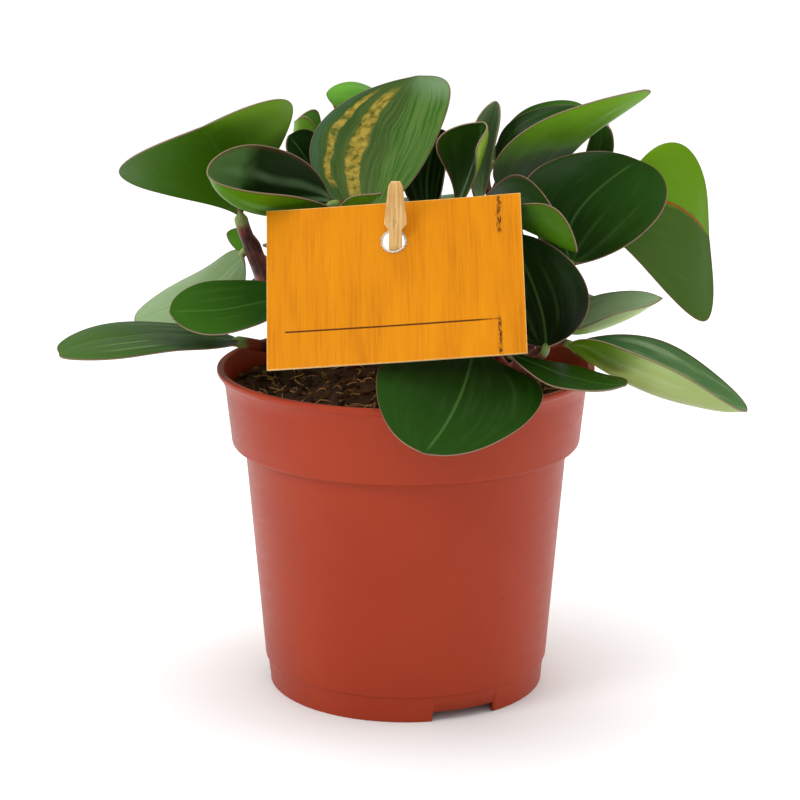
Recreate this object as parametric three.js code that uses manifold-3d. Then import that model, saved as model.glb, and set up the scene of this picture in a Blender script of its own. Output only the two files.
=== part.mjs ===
// A potted peperomia: a moulded nursery pot with soil, seven leafy stems, a wooden stake and a card.
//
// Millimetres, +Z up. The origin is on the pot's axis, in the plane that the pot rests on, and the
// front of the plant, where the card leans, faces -Y.
import * as THREE from 'three';
import { mergeVertices } from 'three/addons/utils/BufferGeometryUtils.js';
import Module from 'manifold-3d';

const wasm = await Module();
wasm.setup();

// ---------------------------------------------------------------- driving dimensions

const fitGap = 0.3; // clear space between pieces that touch on the real plant
const weldDistance = 1e-4; // corners nearer than this are one

const pot = {
  sides: 40, // flats round the pot
  height: 113,
  rimRadius: 65,
  rimLip: 1.6, // height of the lip round the mouth
  rimWidth: 2.2, // thickness of the mouth's edge
  lipFlare: 1.2, // height over which the band flares out into the lip
  bandTop: 62.3, // radius of the band under the lip
  bandTopDrop: 6, // from the lip's top down to that radius
  bandFoot: 60.1, // radius of the band at its lower edge
  bandHeight: 26.9, // from the lip's top down to the band's lower edge
  bandFillet: 1.3,
  wallTop: 55.8, // radius of the tapered wall where it meets the band
  wallFoot: 49.5, // radius of the tapered wall at the moulded line above the base
  footLine: 9.4, // height of that line
  footStep: 0.8, // how far the base is set in under it
  baseRadius: 47.9,
  wall: 1.2,
  ringWidth: 1.8, // width of the ring that the pot stands on
  floorHeight: 4.2, // underside of the floor above the resting plane
  floorThickness: 1.3,
  notchCount: 3,
  notchWidth: 23,
  notchDepth: 12,
  notchHeight: 3.6,
  notchBearing: 24.6, // degrees from the front towards +X, to the middle of the first notch
  drainCount: 6,
  drainRadius: 4.5,
  drainCircle: 31,
  drainSides: 8,
};

const soil = {
  sides: 36,
  rings: 5, // rings of crumbs from the pot's wall to the middle
  top: 105.5, // height at the rim
  edgeDrop: 1, // height and width of the rounding at the rim
  mound: 2.6, // rise from the rim to the middle
  lump: 1.1, // height of the crumbs
  seed: 7,
  holeFloor: 84, // depth that the stems and the stake reach
  holeTop: 130, // a height well above the crumbs
};

const stem = {
  radius: 3.1,
  sides: 8,
  steps: 8,
  overlap: 0.5, // how far its straight foot runs up into its curved part
  holeSides: 12,
};

const stalk = {
  radius: 1.5,
  sides: 6,
  steps: 5,
  gap: 0.6, // clear space between its end and the blade
  aim: 0.12, // how far along its blade a stalk points
  bend: 0.45, // how far back from the blade it bends, as a share of its length
};

const blade = {
  midThickness: 1.5,
  edgeThickness: 0.9,
  stations: 8, // cells from base to tip
  cells: 4, // cells from margin to margin
  baseStart: 0.004, // the blade starts this far along, where it is as wide as its petiole
  tipEnd: 0.996,
  widest: 0.55, // how far along most blades are widest
  wave: 0.5, // height of the slow wave along each margin
  waveCount: 1.3, // waves from base to tip
  arch: 0.07, // rise of a spread blade's midrib, as a share of its length
  hollow: 0.09, // rise of its margins above its midrib
};

const card = {
  width: 84,
  height: 56.7,
  thickness: 0.7,
  centre: [-3.6, -41.1, 150],
  roll: 6.1, // degrees, right end up
  lean: 35.2, // degrees, top edge away from the front
  turn: 8.2, // degrees, right end forward
  holeRadius: 4.15,
  holeDrop: 14, // centre of the hole below the top edge
  holeSteps: 10, // straight pieces in a quarter of the hole
};

const stake = {
  x: -3.4,
  y: -32.9,
  thickness: 2.9,
  topHeight: 181.4,
  topWidth: 4.6,
  shoulderHeight: 167.6,
  shoulderWidth: 7.8,
  shoulderLength: 3,
  shoulderTaper: 0.93,
  tipLength: 1.6,
  tipTaper: 0.62,
  neckHeight: 165.6,
  neckWidth: 4.4,
};

// ---------------------------------------------------------------- colours

const finishes = {
  pot: { color: '#b4492f', roughness: 0.5, metalness: 0 },
  soil: { color: '#2b1d14', roughness: 0.95, metalness: 0 },
  stem: { color: '#6b2a20', roughness: 0.45, metalness: 0 },
  blade: { color: '#2c5a1e', roughness: 0.35, metalness: 0 },
  card: { color: '#e8920f', roughness: 0.55, metalness: 0 },
  wood: { color: '#dcb880', roughness: 0.7, metalness: 0 },
};

// ---------------------------------------------------------------- the plant
//
// Each stem is a path of points from its hole in the soil to its growing tip. Each blade is five
// points: its base, its tip, its left and right margins where it is widest and its midrib between
// them, with "left" and "right" as seen from above with the tip pointing away. "from" says how far
// along the stem its stalk starts. notch lifts the margins beside the tip past it, or draws them back
// when it is negative, widest says how far along the blade its margins are furthest apart, and girth how
// many times thicker than the others its stalk is.

const stems = [
  {
    name: 'stem_left',
    path: [[-42, 20, 109], [-45, 19, 122], [-50, 19, 140], [-54, 17, 152]],
    blades: [
      { name: 'leaf_upper_left', from: 0.97, base: [-57, 14, 161], tip: [-67, -18, 197],
        left: [-39, 14, 201], right: [-96, -6, 179], mid: [-64, -4, 189], widest: 0.74, notch: 1,
        girth: 1.7 },
      { name: 'leaf_left_oval', from: 0.35, base: [-39, -18, 141], tip: [-78, -28, 137],
        left: [-58, -38, 132], right: [-63, -14, 145], mid: [-60, -25, 137] },
      { name: 'leaf_low_left', from: 0.06, base: [-57, -8, 122.5], tip: [-112.3, -46, 127.3],
        left: [-86, -44, 126], right: [-95, -6, 129], mid: [-90, -23, 127.5], widest: 0.57, notch: 2,
        girth: 1.4 },
      { name: 'leaf_left_behind', from: 0.6, base: [-57.5, 24, 147], tip: [-95, 18, 124],
        left: [-64, 5, 128], right: [-75, 34, 138], mid: [-73, 18, 134] },
      { name: 'leaf_bud_left', from: 0.75, base: [-51, 33, 144], tip: [-63, 30, 153],
        left: [-57, 29, 145.5], right: [-55, 34, 153], mid: [-56, 32.5, 148.5] },
    ],
  },
  {
    name: 'stem_centre_left',
    path: [[-18, 16, 109], [-19, 14, 122], [-21, 10, 145], [-22, 10, 157]],
    blades: [
      { name: 'leaf_front_boat', from: 0.8, base: [-25, -3, 169], tip: [-64, -35, 184],
        left: [-38, -23, 175], right: [-45, -11, 190], mid: [-49, -11, 168.3], widest: 0.45 },
      { name: 'leaf_variegated', from: 0.95, base: [-12.5, 3.5, 165], tip: [4, 34, 208],
        left: [-32, 12, 190], right: [13, 20, 194], mid: [-7, 22, 187], widest: 0.54 },
      { name: 'leaf_under_variegated', from: 0.9, base: [-22, -9, 163], tip: [-8, -11, 174],
        left: [-18, -5, 170.5], right: [-21, -17, 172], mid: [-16.5, -10, 168] },
      { name: 'leaf_dark_gap', from: 0.9, base: [-26, 20, 167], tip: [-40, 12, 190],
        left: [-37, 4, 180], right: [-30, 24, 187], mid: [-34, 15, 180] },
      { name: 'leaf_funnel', from: 0.99, base: [-28.3, 37, 170.7], tip: [-38.7, 30, 192.5],
        left: [-32.3, 25, 193], right: [-30.3, 41, 193.4], mid: [-36.8, 35, 182.5] },
      spread('leaf_inner_left', 0.55,
        { base: [-32, 29, 143], heading: 150, rise: 18, roll: 6, length: 20, width: 20 }),
    ],
  },
  {
    name: 'stem_centre',
    path: [[6, 14, 109], [7, 12, 122], [10, 8, 140], [12, 7, 153]],
    blades: [
      { name: 'leaf_dark_centre', from: 0.95, base: [8, 16, 162], tip: [12, 36, 189],
        left: [-1, 22, 176], right: [14, 24, 178], mid: [8, 32, 177] },
      { name: 'leaf_curled', from: 0.9, base: [16, 2, 164], tip: [26, 5, 195.5],
        left: [10, 0, 189.5], right: [23.5, -9, 188], mid: [25.5, 9, 189], widest: 0.7 },
      { name: 'leaf_narrow', from: 0.98, base: [25, 12, 167], tip: [31, 26, 200],
        left: [22, 14, 188], right: [31, 20, 187], mid: [28, 28, 185] },
      spread('leaf_inner_centre', 0.45,
        { base: [4, 26, 133], heading: 90, rise: 8, length: 36, width: 32 }),
      spread('leaf_back_centre', 0.8,
        { base: [8, 28, 150], heading: 96, rise: 20, length: 36, width: 30 }),
    ],
  },
  {
    name: 'stem_right',
    path: [[30, 4, 109], [32, 4, 120], [37, 4, 137], [42, 5, 150]],
    blades: [
      { name: 'leaf_right_oval', from: 0.85, base: [55, -16, 151], tip: [80, 16, 181],
        left: [42, -6, 180], right: [83, -8, 163], mid: [62, 6, 169], widest: 0.63, notch: 1 },
      { name: 'leaf_right_edge', from: 0.95, base: [70, 10, 155], tip: [107.5, 36, 151],
        left: [104, 32, 121.3], right: [98, 36, 183.5], mid: [94, 24, 164], widest: 0.69, notch: 1 },
      { name: 'leaf_boat_right', from: 0.85, base: [23.5, -12, 170], tip: [55, -38, 159.5],
        left: [40, -14, 180], right: [46, -36, 174.3], mid: [43, -24, 163], widest: 0.6 },
      { name: 'leaf_upper_right', from: 0.98, base: [40, 14, 168], tip: [79, -8, 208],
        left: [64, 10, 191], right: [34.5, -6, 190.5], mid: [54, 6, 189.5], widest: 0.52 },
      spread('leaf_back_right', 0.35,
        { base: [46, 22, 129], heading: 46, rise: -6, roll: -6, length: 42, width: 38 }),
    ],
  },
  {
    name: 'stem_front_right',
    path: [[30, -26, 109], [32, -27, 113], [36, -29, 117], [41, -31, 122]],
    blades: [
      { name: 'leaf_behind_card', from: 0.9, base: [46, -36, 127], tip: [34, -20, 162],
        left: [28, -26, 142], right: [59, -36, 148], mid: [43, -28, 144] },
      { name: 'leaf_pointed', from: 0.95, base: [52, -16, 129], tip: [85, -24, 141],
        left: [66, -8, 139], right: [64, -30, 135], mid: [67, -19, 131], notch: -1 },
      { name: 'leaf_long_right', from: 0.8, base: [55, -34, 127], tip: [110, -54, 110],
        left: [87, -38, 128], right: [74, -64, 131.5], mid: [76, -50, 117], widest: 0.42 },
      { name: 'leaf_low_right', from: 0.5, base: [33, -48, 128], tip: [69, -72, 123],
        left: [62, -52, 122.5], right: [50, -78, 123], mid: [59, -69, 122.5], widest: 0.62 },
      { name: 'leaf_over_rim', from: 0.3, base: [22, -44, 127], tip: [6, -84, 104],
        left: [43, -65, 115], right: [-8, -50, 125], mid: [15, -68, 113], widest: 0.56 },
    ],
  },
  {
    name: 'stem_back_right',
    path: [[22, 34, 109], [23, 34, 120], [28, 35, 145], [32, 36, 163]],
    blades: [
      { name: 'leaf_right_behind', from: 0.9, base: [33, 21, 174], tip: [63, 23, 197.5],
        left: [38, 31, 193.5], right: [50, 11, 185], mid: [46, 25, 188] },
      { name: 'leaf_right_far', from: 0.98, base: [30, 34, 177], tip: [64, 50, 195],
        left: [44, 48, 195.5], right: [50, 34, 188], mid: [47, 44, 190] },
      { name: 'leaf_right_tip', from: 0.9, base: [66, 40, 172], tip: [69, 38, 191],
        left: [64, 40, 182], right: [73, 34, 183], mid: [69, 42, 181] },
      spread('leaf_back_high_right', 0.93,
        { base: [38, 44, 167], heading: 50, rise: 22, roll: 10, length: 50, width: 40 }),
      spread('leaf_back_side_right', 0.6,
        { base: [48, 40, 148], heading: 22, rise: 4, roll: -14, length: 46, width: 40 }),
      spread('leaf_back_low_right', 0.35,
        { base: [26, 46, 127], heading: 78, rise: -8, roll: 6, length: 42, width: 42 }),
    ],
  },
  {
    name: 'stem_back_left',
    path: [[-20, 36, 109], [-20, 36, 120], [-16, 40, 150], [-12, 43, 176]],
    blades: [
      { name: 'leaf_behind_variegated', from: 0.97, base: [-4, 52, 192.5], tip: [-28, 48, 200],
        left: [-16, 46, 192], right: [-15, 56, 202.5], mid: [-16, 48, 198.5] },
      spread('leaf_back_high', 0.93,
        { base: [-8, 54, 175], heading: 102, rise: 38, roll: -8, length: 40, width: 36 }),
      spread('leaf_back_high_left', 0.7,
        { base: [-29, 46, 156], heading: 140, rise: 12, roll: 12, length: 52, width: 44 }),
      spread('leaf_back_mid', 0.4,
        { base: [-18, 49, 140], heading: 100, rise: -14, roll: -6, length: 40, width: 38 }),
      spread('leaf_back_low_left', 0.3,
        { base: [-36, 44, 124], heading: 140, rise: -4, roll: 8, length: 48, width: 42 }),
      spread('leaf_back_low', 0.2,
        { base: [-6, 50, 120], heading: 82, rise: -10, roll: 4, length: 38, width: 38 }),
    ],
  },
];

// ---------------------------------------------------------------- solids

/** A closed solid from a geometry whose shared corners are welded. */
function solidOf(geometry) {
  const bare = geometry.clone();
  bare.deleteAttribute('normal');
  bare.deleteAttribute('uv');
  const welded = mergeVertices(bare, weldDistance);
  return new wasm.Manifold(new wasm.Mesh({
    numProp: 3,
    vertProperties: new Float32Array(welded.attributes.position.array),
    triVerts: new Uint32Array(welded.index.array),
  }));
}

/** The geometry of a solid. */
function geometryOf(solid) {
  const mesh = solid.getMesh();
  const geometry = new THREE.BufferGeometry();
  geometry.setAttribute('position', new THREE.BufferAttribute(mesh.vertProperties, 3));
  geometry.setIndex(new THREE.BufferAttribute(mesh.triVerts, 1));
  geometry.computeVertexNormals();
  return geometry;
}

/** Several solids grown into one. */
function joined(solids) {
  return solids.reduce((whole, piece) => whole.add(piece));
}

/** A profile of [radius, height] pairs turned about the Z axis. */
function turned(profile, segments) {
  const points = profile.map(([radius, height]) => new THREE.Vector2(radius, height));
  return new THREE.LatheGeometry(points, segments).rotateX(Math.PI / 2);
}

/** A round rod of even thickness along a curve. */
function rod(curve, radius, sides, steps) {
  const section = new THREE.Shape();
  for (let i = 0; i < sides; i++) {
    const angle = 2 * Math.PI * i / sides;
    const [x, y] = [radius * Math.cos(angle), radius * Math.sin(angle)];
    if (i === 0) section.moveTo(x, y);
    else section.lineTo(x, y);
  }
  section.closePath();
  return new THREE.ExtrudeGeometry(section, { extrudePath: curve, steps, bevelEnabled: false });
}

/** An upright round bar from one height to another. */
function post(x, y, low, high, radius, sides) {
  return new THREE.CylinderGeometry(radius, radius, high - low, sides)
    .rotateX(Math.PI / 2)
    .translate(x, y, (low + high) / 2);
}

/** A mesh with its own material. */
function piece(name, geometry, finish) {
  const mesh = new THREE.Mesh(geometry, new THREE.MeshStandardMaterial(finish));
  mesh.name = name;
  return mesh;
}

/** A point or direction from its three numbers. */
function vector([x, y, z]) {
  return new THREE.Vector3(x, y, z);
}

/** A repeatable series of numbers between 0 and 1. */
function seededDraws(seed) {
  let state = seed;
  return () => {
    state = (state * 1664525 + 1013904223) % 4294967296;
    return state / 4294967296;
  };
}

// ---------------------------------------------------------------- pot and soil

/** The pot's outline: up the outside, over the lip and down the inside to the floor. */
function potProfile() {
  const { height, rimRadius, rimLip, wall, bandFillet } = pot;
  const bandEdge = height - pot.bandHeight;
  const outside = [
    [pot.baseRadius, 0],
    [pot.wallFoot - pot.footStep, pot.footLine - pot.footStep / 2],
    [pot.wallFoot, pot.footLine],
    [pot.wallTop, bandEdge],
    ...fillet(pot.bandFoot - bandFillet, bandEdge + bandFillet, bandFillet),
    [pot.bandTop, height - pot.bandTopDrop],
    [rimRadius - pot.lipFlare, height - rimLip - pot.lipFlare],
    [rimRadius, height - rimLip],
    [rimRadius, height],
  ];
  const floorTop = pot.floorHeight + pot.floorThickness;
  const inside = [
    [rimRadius - pot.rimWidth, height],
    [pot.bandTop - wall, height - pot.bandTopDrop],
    [pot.bandFoot - wall, bandEdge + bandFillet],
    [pot.wallTop - wall, bandEdge - wall],
    [pot.wallFoot - wall, pot.footLine],
    [pot.baseRadius - wall, floorTop],
    [0, floorTop],
    [0, pot.floorHeight],
    [pot.baseRadius - pot.ringWidth, pot.floorHeight],
    [pot.baseRadius - pot.ringWidth, 0],
    [pot.baseRadius, 0],
  ];
  return [...outside, ...inside];
}

/** A quarter round about a centre, from straight below it to straight outwards. */
function fillet(radius, height, size) {
  return [0, 1, 2].map((step) => {
    const angle = step / 2 * Math.PI / 2;
    return [radius + size * Math.sin(angle), height - size * Math.cos(angle)];
  });
}

function makePot() {
  let body = solidOf(turned(potProfile(), pot.sides));
  for (let i = 0; i < pot.notchCount; i++) {
    const bearing = THREE.MathUtils.degToRad(pot.notchBearing) + 2 * Math.PI * i / pot.notchCount;
    const notch = new THREE.BoxGeometry(pot.notchWidth, pot.notchDepth, 2 * pot.notchHeight)
      .translate(0, -pot.baseRadius, 0)
      .rotateZ(bearing);
    body = body.subtract(solidOf(notch));
  }
  for (let i = 0; i < pot.drainCount; i++) {
    const angle = 2 * Math.PI * i / pot.drainCount;
    const [x, y] = [pot.drainCircle * Math.cos(angle), pot.drainCircle * Math.sin(angle)];
    body = body.subtract(solidOf(post(x, y, 0, pot.footLine, pot.drainRadius, pot.drainSides)));
  }
  return piece('pot', geometryOf(body), finishes.pot);
}

/** The pot's inner radius at a height below its band. */
function innerRadius(height) {
  const bandEdge = pot.height - pot.bandHeight;
  const rise = (height - pot.footLine) / (bandEdge - pot.footLine);
  return THREE.MathUtils.lerp(pot.wallFoot, pot.wallTop, rise) - pot.wall;
}

function makeSoil() {
  const bandEdge = pot.height - pot.bandHeight;
  const floorTop = pot.floorHeight + pot.floorThickness + fitGap;
  const shoulder = pot.bandFoot - pot.wall - fitGap;
  const bandRise = (soil.top - bandEdge) / (pot.height - pot.bandTopDrop - bandEdge);
  const topRadius = THREE.MathUtils.lerp(shoulder, pot.bandTop - pot.wall - fitGap, bandRise) - fitGap;
  const side = [
    [0, floorTop],
    [pot.baseRadius - pot.wall - 2 * fitGap, floorTop],
    [innerRadius(pot.footLine) - fitGap, pot.footLine],
    [innerRadius(bandEdge) - fitGap, bandEdge],
    [shoulder, bandEdge + 2 * pot.bandFillet],
    [topRadius, soil.top - soil.edgeDrop],
  ];
  const top = [];
  for (let i = 0; i <= soil.rings; i++) {
    const inward = i / soil.rings;
    const reach = (topRadius - soil.edgeDrop) * (1 - inward);
    top.push([reach, soil.top + soil.mound * Math.sin(inward * Math.PI / 2)]);
  }
  const geometry = mergeVertices(bareTurned([...side, ...top], soil.sides), weldDistance);
  const draw = seededDraws(soil.seed);
  const position = geometry.attributes.position;
  for (let i = 0; i < position.count; i++) {
    const crumb = draw() - 0.5;
    const reach = Math.hypot(position.getX(i), position.getY(i));
    if (position.getZ(i) >= soil.top && reach < topRadius - 2 * soil.edgeDrop) {
      position.setZ(i, position.getZ(i) + 2 * soil.lump * crumb);
    }
  }
  let body = solidOf(geometry);
  const holeFloor = soil.holeFloor - fitGap;
  for (const { path } of stems) {
    const [x, y] = path[0];
    body = body.subtract(solidOf(post(x, y, holeFloor, soil.holeTop, stem.radius + fitGap, stem.holeSides)));
  }
  const depth = soil.holeTop - holeFloor;
  const slot = new THREE.BoxGeometry(stake.neckWidth + 2 * fitGap, stake.thickness + 2 * fitGap, depth)
    .translate(stake.x, stake.y, holeFloor + depth / 2);
  body = body.subtract(solidOf(slot));
  return piece('soil', geometryOf(body), finishes.soil);
}

/** A turned profile with nothing but its corners. */
function bareTurned(profile, segments) {
  const geometry = turned(profile, segments);
  geometry.deleteAttribute('normal');
  geometry.deleteAttribute('uv');
  return geometry;
}

// ---------------------------------------------------------------- blades

/**
 * A blade given by its base, the compass angle it heads for (0 is +X, 90 is +Y), how steeply it rises,
 * how far its right margin is rolled up, and its length and width. It arches up along its midrib and
 * its margins lift into a shallow hollow.
 */
function spread(name, from, { base, heading, rise, roll = 0, length, width }) {
  const [bearing, climb, tilt] = [heading, rise, roll].map(THREE.MathUtils.degToRad);
  const along = new THREE.Vector3(Math.cos(bearing) * Math.cos(climb), Math.sin(bearing) * Math.cos(climb),
    Math.sin(climb));
  const sideways = new THREE.Vector3(Math.sin(bearing), -Math.cos(bearing), 0).applyAxisAngle(along, -tilt);
  const upward = sideways.clone().cross(along);
  const place = (far, aside, up) => vector(base)
    .addScaledVector(along, far * length)
    .addScaledVector(sideways, aside * width)
    .addScaledVector(upward, up * length)
    .toArray();
  const { widest, arch, hollow } = blade;
  return {
    name,
    from,
    base,
    tip: place(1, 0, -arch),
    left: place(widest, -0.5, arch + hollow),
    right: place(widest, 0.5, arch + hollow),
    mid: place(widest, 0, arch),
    notch: 1,
  };
}

/** The blade's half width at a place along it, as a share of its greatest half width. */
function outline(u, widest) {
  const tipPower = 0.5;
  const basePower = tipPower * widest / (1 - widest);
  return Math.pow(u / widest, basePower) * Math.pow((1 - u) / (1 - widest), tipPower);
}

/** The blade's middle surface: u runs from base to tip and v from the left margin, -1, to the right, 1. */
function bladeSurface(leaf) {
  const { notch = 0, widest = blade.widest } = leaf;
  const points = [leaf.base, leaf.tip, leaf.left, leaf.right, leaf.mid];
  const [base, tip, left, right, mid] = points.map(vector);
  const across = right.clone().sub(left).multiplyScalar(0.5);
  const hollow = left.clone().add(right).multiplyScalar(0.5).sub(mid);
  const along = tip.clone().sub(base).normalize();
  const upward = across.clone().cross(along).normalize();
  return (u, v) => {
    const s = outline(u, widest) * v;
    const size = Math.abs(s);
    const shoulder = notch * 4 * size * (1 - size) * Math.max(0, (u - widest) / (1 - widest));
    const ripple = blade.wave * s * s * Math.sin(2 * Math.PI * (blade.waveCount * u + 0.25 * Math.sign(v)));
    return new THREE.Vector3()
      .addScaledVector(base, (u - widest) * (u - 1) / widest)
      .addScaledVector(mid, u * (1 - u) / (widest * (1 - widest)))
      .addScaledVector(tip, u * (u - widest) / (1 - widest))
      .addScaledVector(across, s)
      .addScaledVector(hollow, s * s)
      .addScaledVector(along, shoulder)
      .addScaledVector(upward, ripple);
  };
}

/** The surface's upward direction. */
function upwardAt(surface, u, v) {
  const step = 1e-3;
  const run = surface(u + step, v).sub(surface(u - step, v));
  const span = surface(u, v + step).sub(surface(u, v - step));
  return span.cross(run).normalize();
}

/** A blade of its own thickness: one sheet of cells laid on both faces and closed round its edge. */
function bladeGeometry(leaf) {
  const surface = bladeSurface(leaf);
  const sheet = new THREE.PlaneGeometry(1, 1, blade.cells, blade.stations);
  const grid = sheet.attributes.position;
  const count = grid.count;
  const places = new Float32Array(2 * count * 3);
  for (let i = 0; i < count; i++) {
    const v = 2 * grid.getX(i);
    const turn = Math.PI * (grid.getY(i) + 0.5);
    const u = THREE.MathUtils.lerp(blade.baseStart, blade.tipEnd, (1 - Math.cos(turn)) / 2);
    const s = outline(u, leaf.widest ?? blade.widest) * v;
    const half = THREE.MathUtils.lerp(blade.midThickness, blade.edgeThickness, s * s) / 2;
    const upward = upwardAt(surface, u, v);
    surface(u, v).addScaledVector(upward, half).toArray(places, 3 * i);
    surface(u, v).addScaledVector(upward, -half).toArray(places, 3 * (count + i));
  }
  const upper = Array.from(sheet.index.array);
  const lower = upper.map((corner) => count + corner).reverse();
  const edge = sheetEdge(blade.cells, blade.stations);
  const rim = edge.flatMap((corner, i) => {
    const next = edge[(i + 1) % edge.length];
    return [corner, count + corner, count + next, corner, count + next, next];
  });
  const geometry = new THREE.BufferGeometry();
  geometry.setAttribute('position', new THREE.BufferAttribute(places, 3));
  geometry.setIndex([...upper, ...lower, ...rim]);
  geometry.computeVertexNormals();
  return geometry;
}

/** The corner numbers round a sheet's edge, anticlockwise from its top left. */
function sheetEdge(columns, rows) {
  const at = (column, row) => row * (columns + 1) + column;
  const edge = [];
  for (let row = 0; row < rows; row++) edge.push(at(0, row));
  for (let column = 0; column < columns; column++) edge.push(at(column, rows));
  for (let row = rows; row > 0; row--) edge.push(at(columns, row));
  for (let column = columns; column > 0; column--) edge.push(at(column, 0));
  return edge;
}

// ---------------------------------------------------------------- stems

/** The stalk from a stem to a blade's base, which it meets in the blade's own direction. */
function stalkCurve(start, leaf) {
  const surface = bladeSurface(leaf);
  const base = surface(blade.baseStart, 0);
  const ahead = surface(stalk.aim, 0).sub(base).normalize();
  const end = base.clone().addScaledVector(ahead, -stalk.gap);
  const bend = end.clone().addScaledVector(ahead, -stalk.bend * start.distanceTo(end));
  return new THREE.QuadraticBezierCurve3(start, bend, end);
}

function makeStem({ name, path, blades }) {
  const [x, y, z] = path[0];
  const curve = new THREE.CatmullRomCurve3(path.map(vector));
  const solids = [
    solidOf(post(x, y, soil.holeFloor, z + stem.overlap, stem.radius, stem.sides)),
    solidOf(rod(curve, stem.radius, stem.sides, stem.steps)),
  ];
  for (const leaf of blades) {
    const girth = stalk.radius * (leaf.girth ?? 1);
    solids.push(solidOf(rod(stalkCurve(curve.getPointAt(leaf.from), leaf), girth, stalk.sides, stalk.steps)));
  }
  return piece(name, geometryOf(joined(solids)), finishes.stem);
}

// ---------------------------------------------------------------- card and stake

function makeCard() {
  const face = new THREE.Shape();
  const [w, h] = [card.width / 2, card.height / 2];
  face.moveTo(-w, -h).lineTo(w, -h).lineTo(w, h).lineTo(-w, h).closePath();
  const hole = new THREE.Path();
  hole.absarc(0, h - card.holeDrop, card.holeRadius, 0, 2 * Math.PI, true);
  face.holes.push(hole);
  const sheet = { depth: card.thickness, bevelEnabled: false, curveSegments: card.holeSteps };
  const geometry = new THREE.ExtrudeGeometry(face, sheet);
  geometry.translate(0, 0, -card.thickness / 2);
  geometry.rotateX(Math.PI / 2);
  const mesh = piece('label_card', geometry, finishes.card);
  mesh.rotation.set(
    THREE.MathUtils.degToRad(-card.lean),
    THREE.MathUtils.degToRad(-card.roll),
    THREE.MathUtils.degToRad(-card.turn),
    'ZXY',
  );
  mesh.position.set(...card.centre);
  return mesh;
}

function makeStake() {
  const [neck, shoulder, top] = [stake.neckWidth / 2, stake.shoulderWidth / 2, stake.topWidth / 2];
  const side = [
    [neck, stake.neckHeight],
    [shoulder, stake.shoulderHeight],
    [shoulder * stake.shoulderTaper, stake.shoulderHeight + stake.shoulderLength],
    [top, stake.topHeight - stake.tipLength],
    [top * stake.tipTaper, stake.topHeight],
  ];
  const mirrored = side.map(([across, height]) => [-across, height]).reverse();
  const face = new THREE.Shape();
  face.moveTo(-neck, soil.holeFloor);
  for (const [across, height] of [[neck, soil.holeFloor], ...side, ...mirrored]) face.lineTo(across, height);
  face.closePath();
  const depth = stake.thickness;
  const geometry = new THREE.ExtrudeGeometry(face, { depth, bevelEnabled: false })
    .translate(0, 0, -depth / 2)
    .rotateX(Math.PI / 2)
    .translate(stake.x, stake.y, 0);
  return piece('wooden_stake', geometry, finishes.wood);
}

// ---------------------------------------------------------------- the whole plant

const plant = new THREE.Group();
plant.add(makePot(), makeSoil(), makeCard(), makeStake());
for (const plan of stems) {
  plant.add(makeStem(plan));
  for (const leaf of plan.blades) plant.add(piece(leaf.name, bladeGeometry(leaf), finishes.blade));
}

export default plant;
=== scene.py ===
"""A potted peperomia: finished pot, peat, leafy stems, printed card and wooden stake round their frame.

Sizes are millimetres unless a name says otherwise, and a point becomes metres where it enters a mesh.
The front of the plant faces -Y and +Z is up.
"""

from __future__ import annotations

import logging
import math
import random
from collections.abc import Mapping, Sequence
from dataclasses import dataclass, field
from enum import Enum

import bmesh
import bpy
from mathutils import Matrix, Quaternion, Vector, geometry, noise


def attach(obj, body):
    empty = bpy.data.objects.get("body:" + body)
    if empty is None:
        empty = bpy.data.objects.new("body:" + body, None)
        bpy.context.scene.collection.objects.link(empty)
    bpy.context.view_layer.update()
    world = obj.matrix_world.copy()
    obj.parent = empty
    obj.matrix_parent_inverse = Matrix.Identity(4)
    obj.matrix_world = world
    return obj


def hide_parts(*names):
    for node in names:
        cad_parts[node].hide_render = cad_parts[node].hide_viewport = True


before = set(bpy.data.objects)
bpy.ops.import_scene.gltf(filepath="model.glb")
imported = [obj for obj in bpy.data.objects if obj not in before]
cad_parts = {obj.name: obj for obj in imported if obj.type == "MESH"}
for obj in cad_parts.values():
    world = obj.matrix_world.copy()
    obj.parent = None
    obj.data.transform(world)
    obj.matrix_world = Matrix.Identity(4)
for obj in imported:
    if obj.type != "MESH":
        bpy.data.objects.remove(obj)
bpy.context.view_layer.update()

LOG = logging.getLogger("peperomia")
MM = 0.001  # metres in a millimetre
BODY = "root"  # the one body that every piece rides on

VEIN_PLACES = (0.36, 0.68)  # a leaf's side veins, as shares of the way from its midrib to its margin

Point = tuple[float, float, float]


# ---------------------------------------------------------------- shaders


def paint(code: str) -> tuple[float, float, float, float]:
    """A linear colour from its sRGB code, such as "#b4492f".

    Args:
        code: the colour's code.

    Returns:
        The colour with its alpha.
    """
    shares = (int(code[i : i + 2], 16) / 255 for i in (1, 3, 5))
    linear = (s / 12.92 if s <= 0.04045 else ((s + 0.055) / 1.055) ** 2.4 for s in shares)
    return (*linear, 1.0)


class Value:
    """A number inside a shader. Python's operators on it add Math nodes."""

    def __init__(self, shader: Shader, socket: bpy.types.NodeSocket) -> None:
        """Wraps a socket of a shader."""
        self.shader = shader
        self.socket = socket

    def __add__(self, other: Value | float) -> Value:
        """The sum."""
        return self.shader.maths("ADD", self, other)

    def __sub__(self, other: Value | float) -> Value:
        """The difference."""
        return self.shader.maths("SUBTRACT", self, other)

    def __rsub__(self, other: float) -> Value:
        """The difference from a number."""
        return self.shader.maths("SUBTRACT", other, self)

    def __mul__(self, other: Value | float) -> Value:
        """The product."""
        return self.shader.maths("MULTIPLY", self, other)

    def __abs__(self) -> Value:
        """The size without its sign."""
        return self.shader.maths("ABSOLUTE", self)

    __radd__ = __add__
    __rmul__ = __mul__


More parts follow.
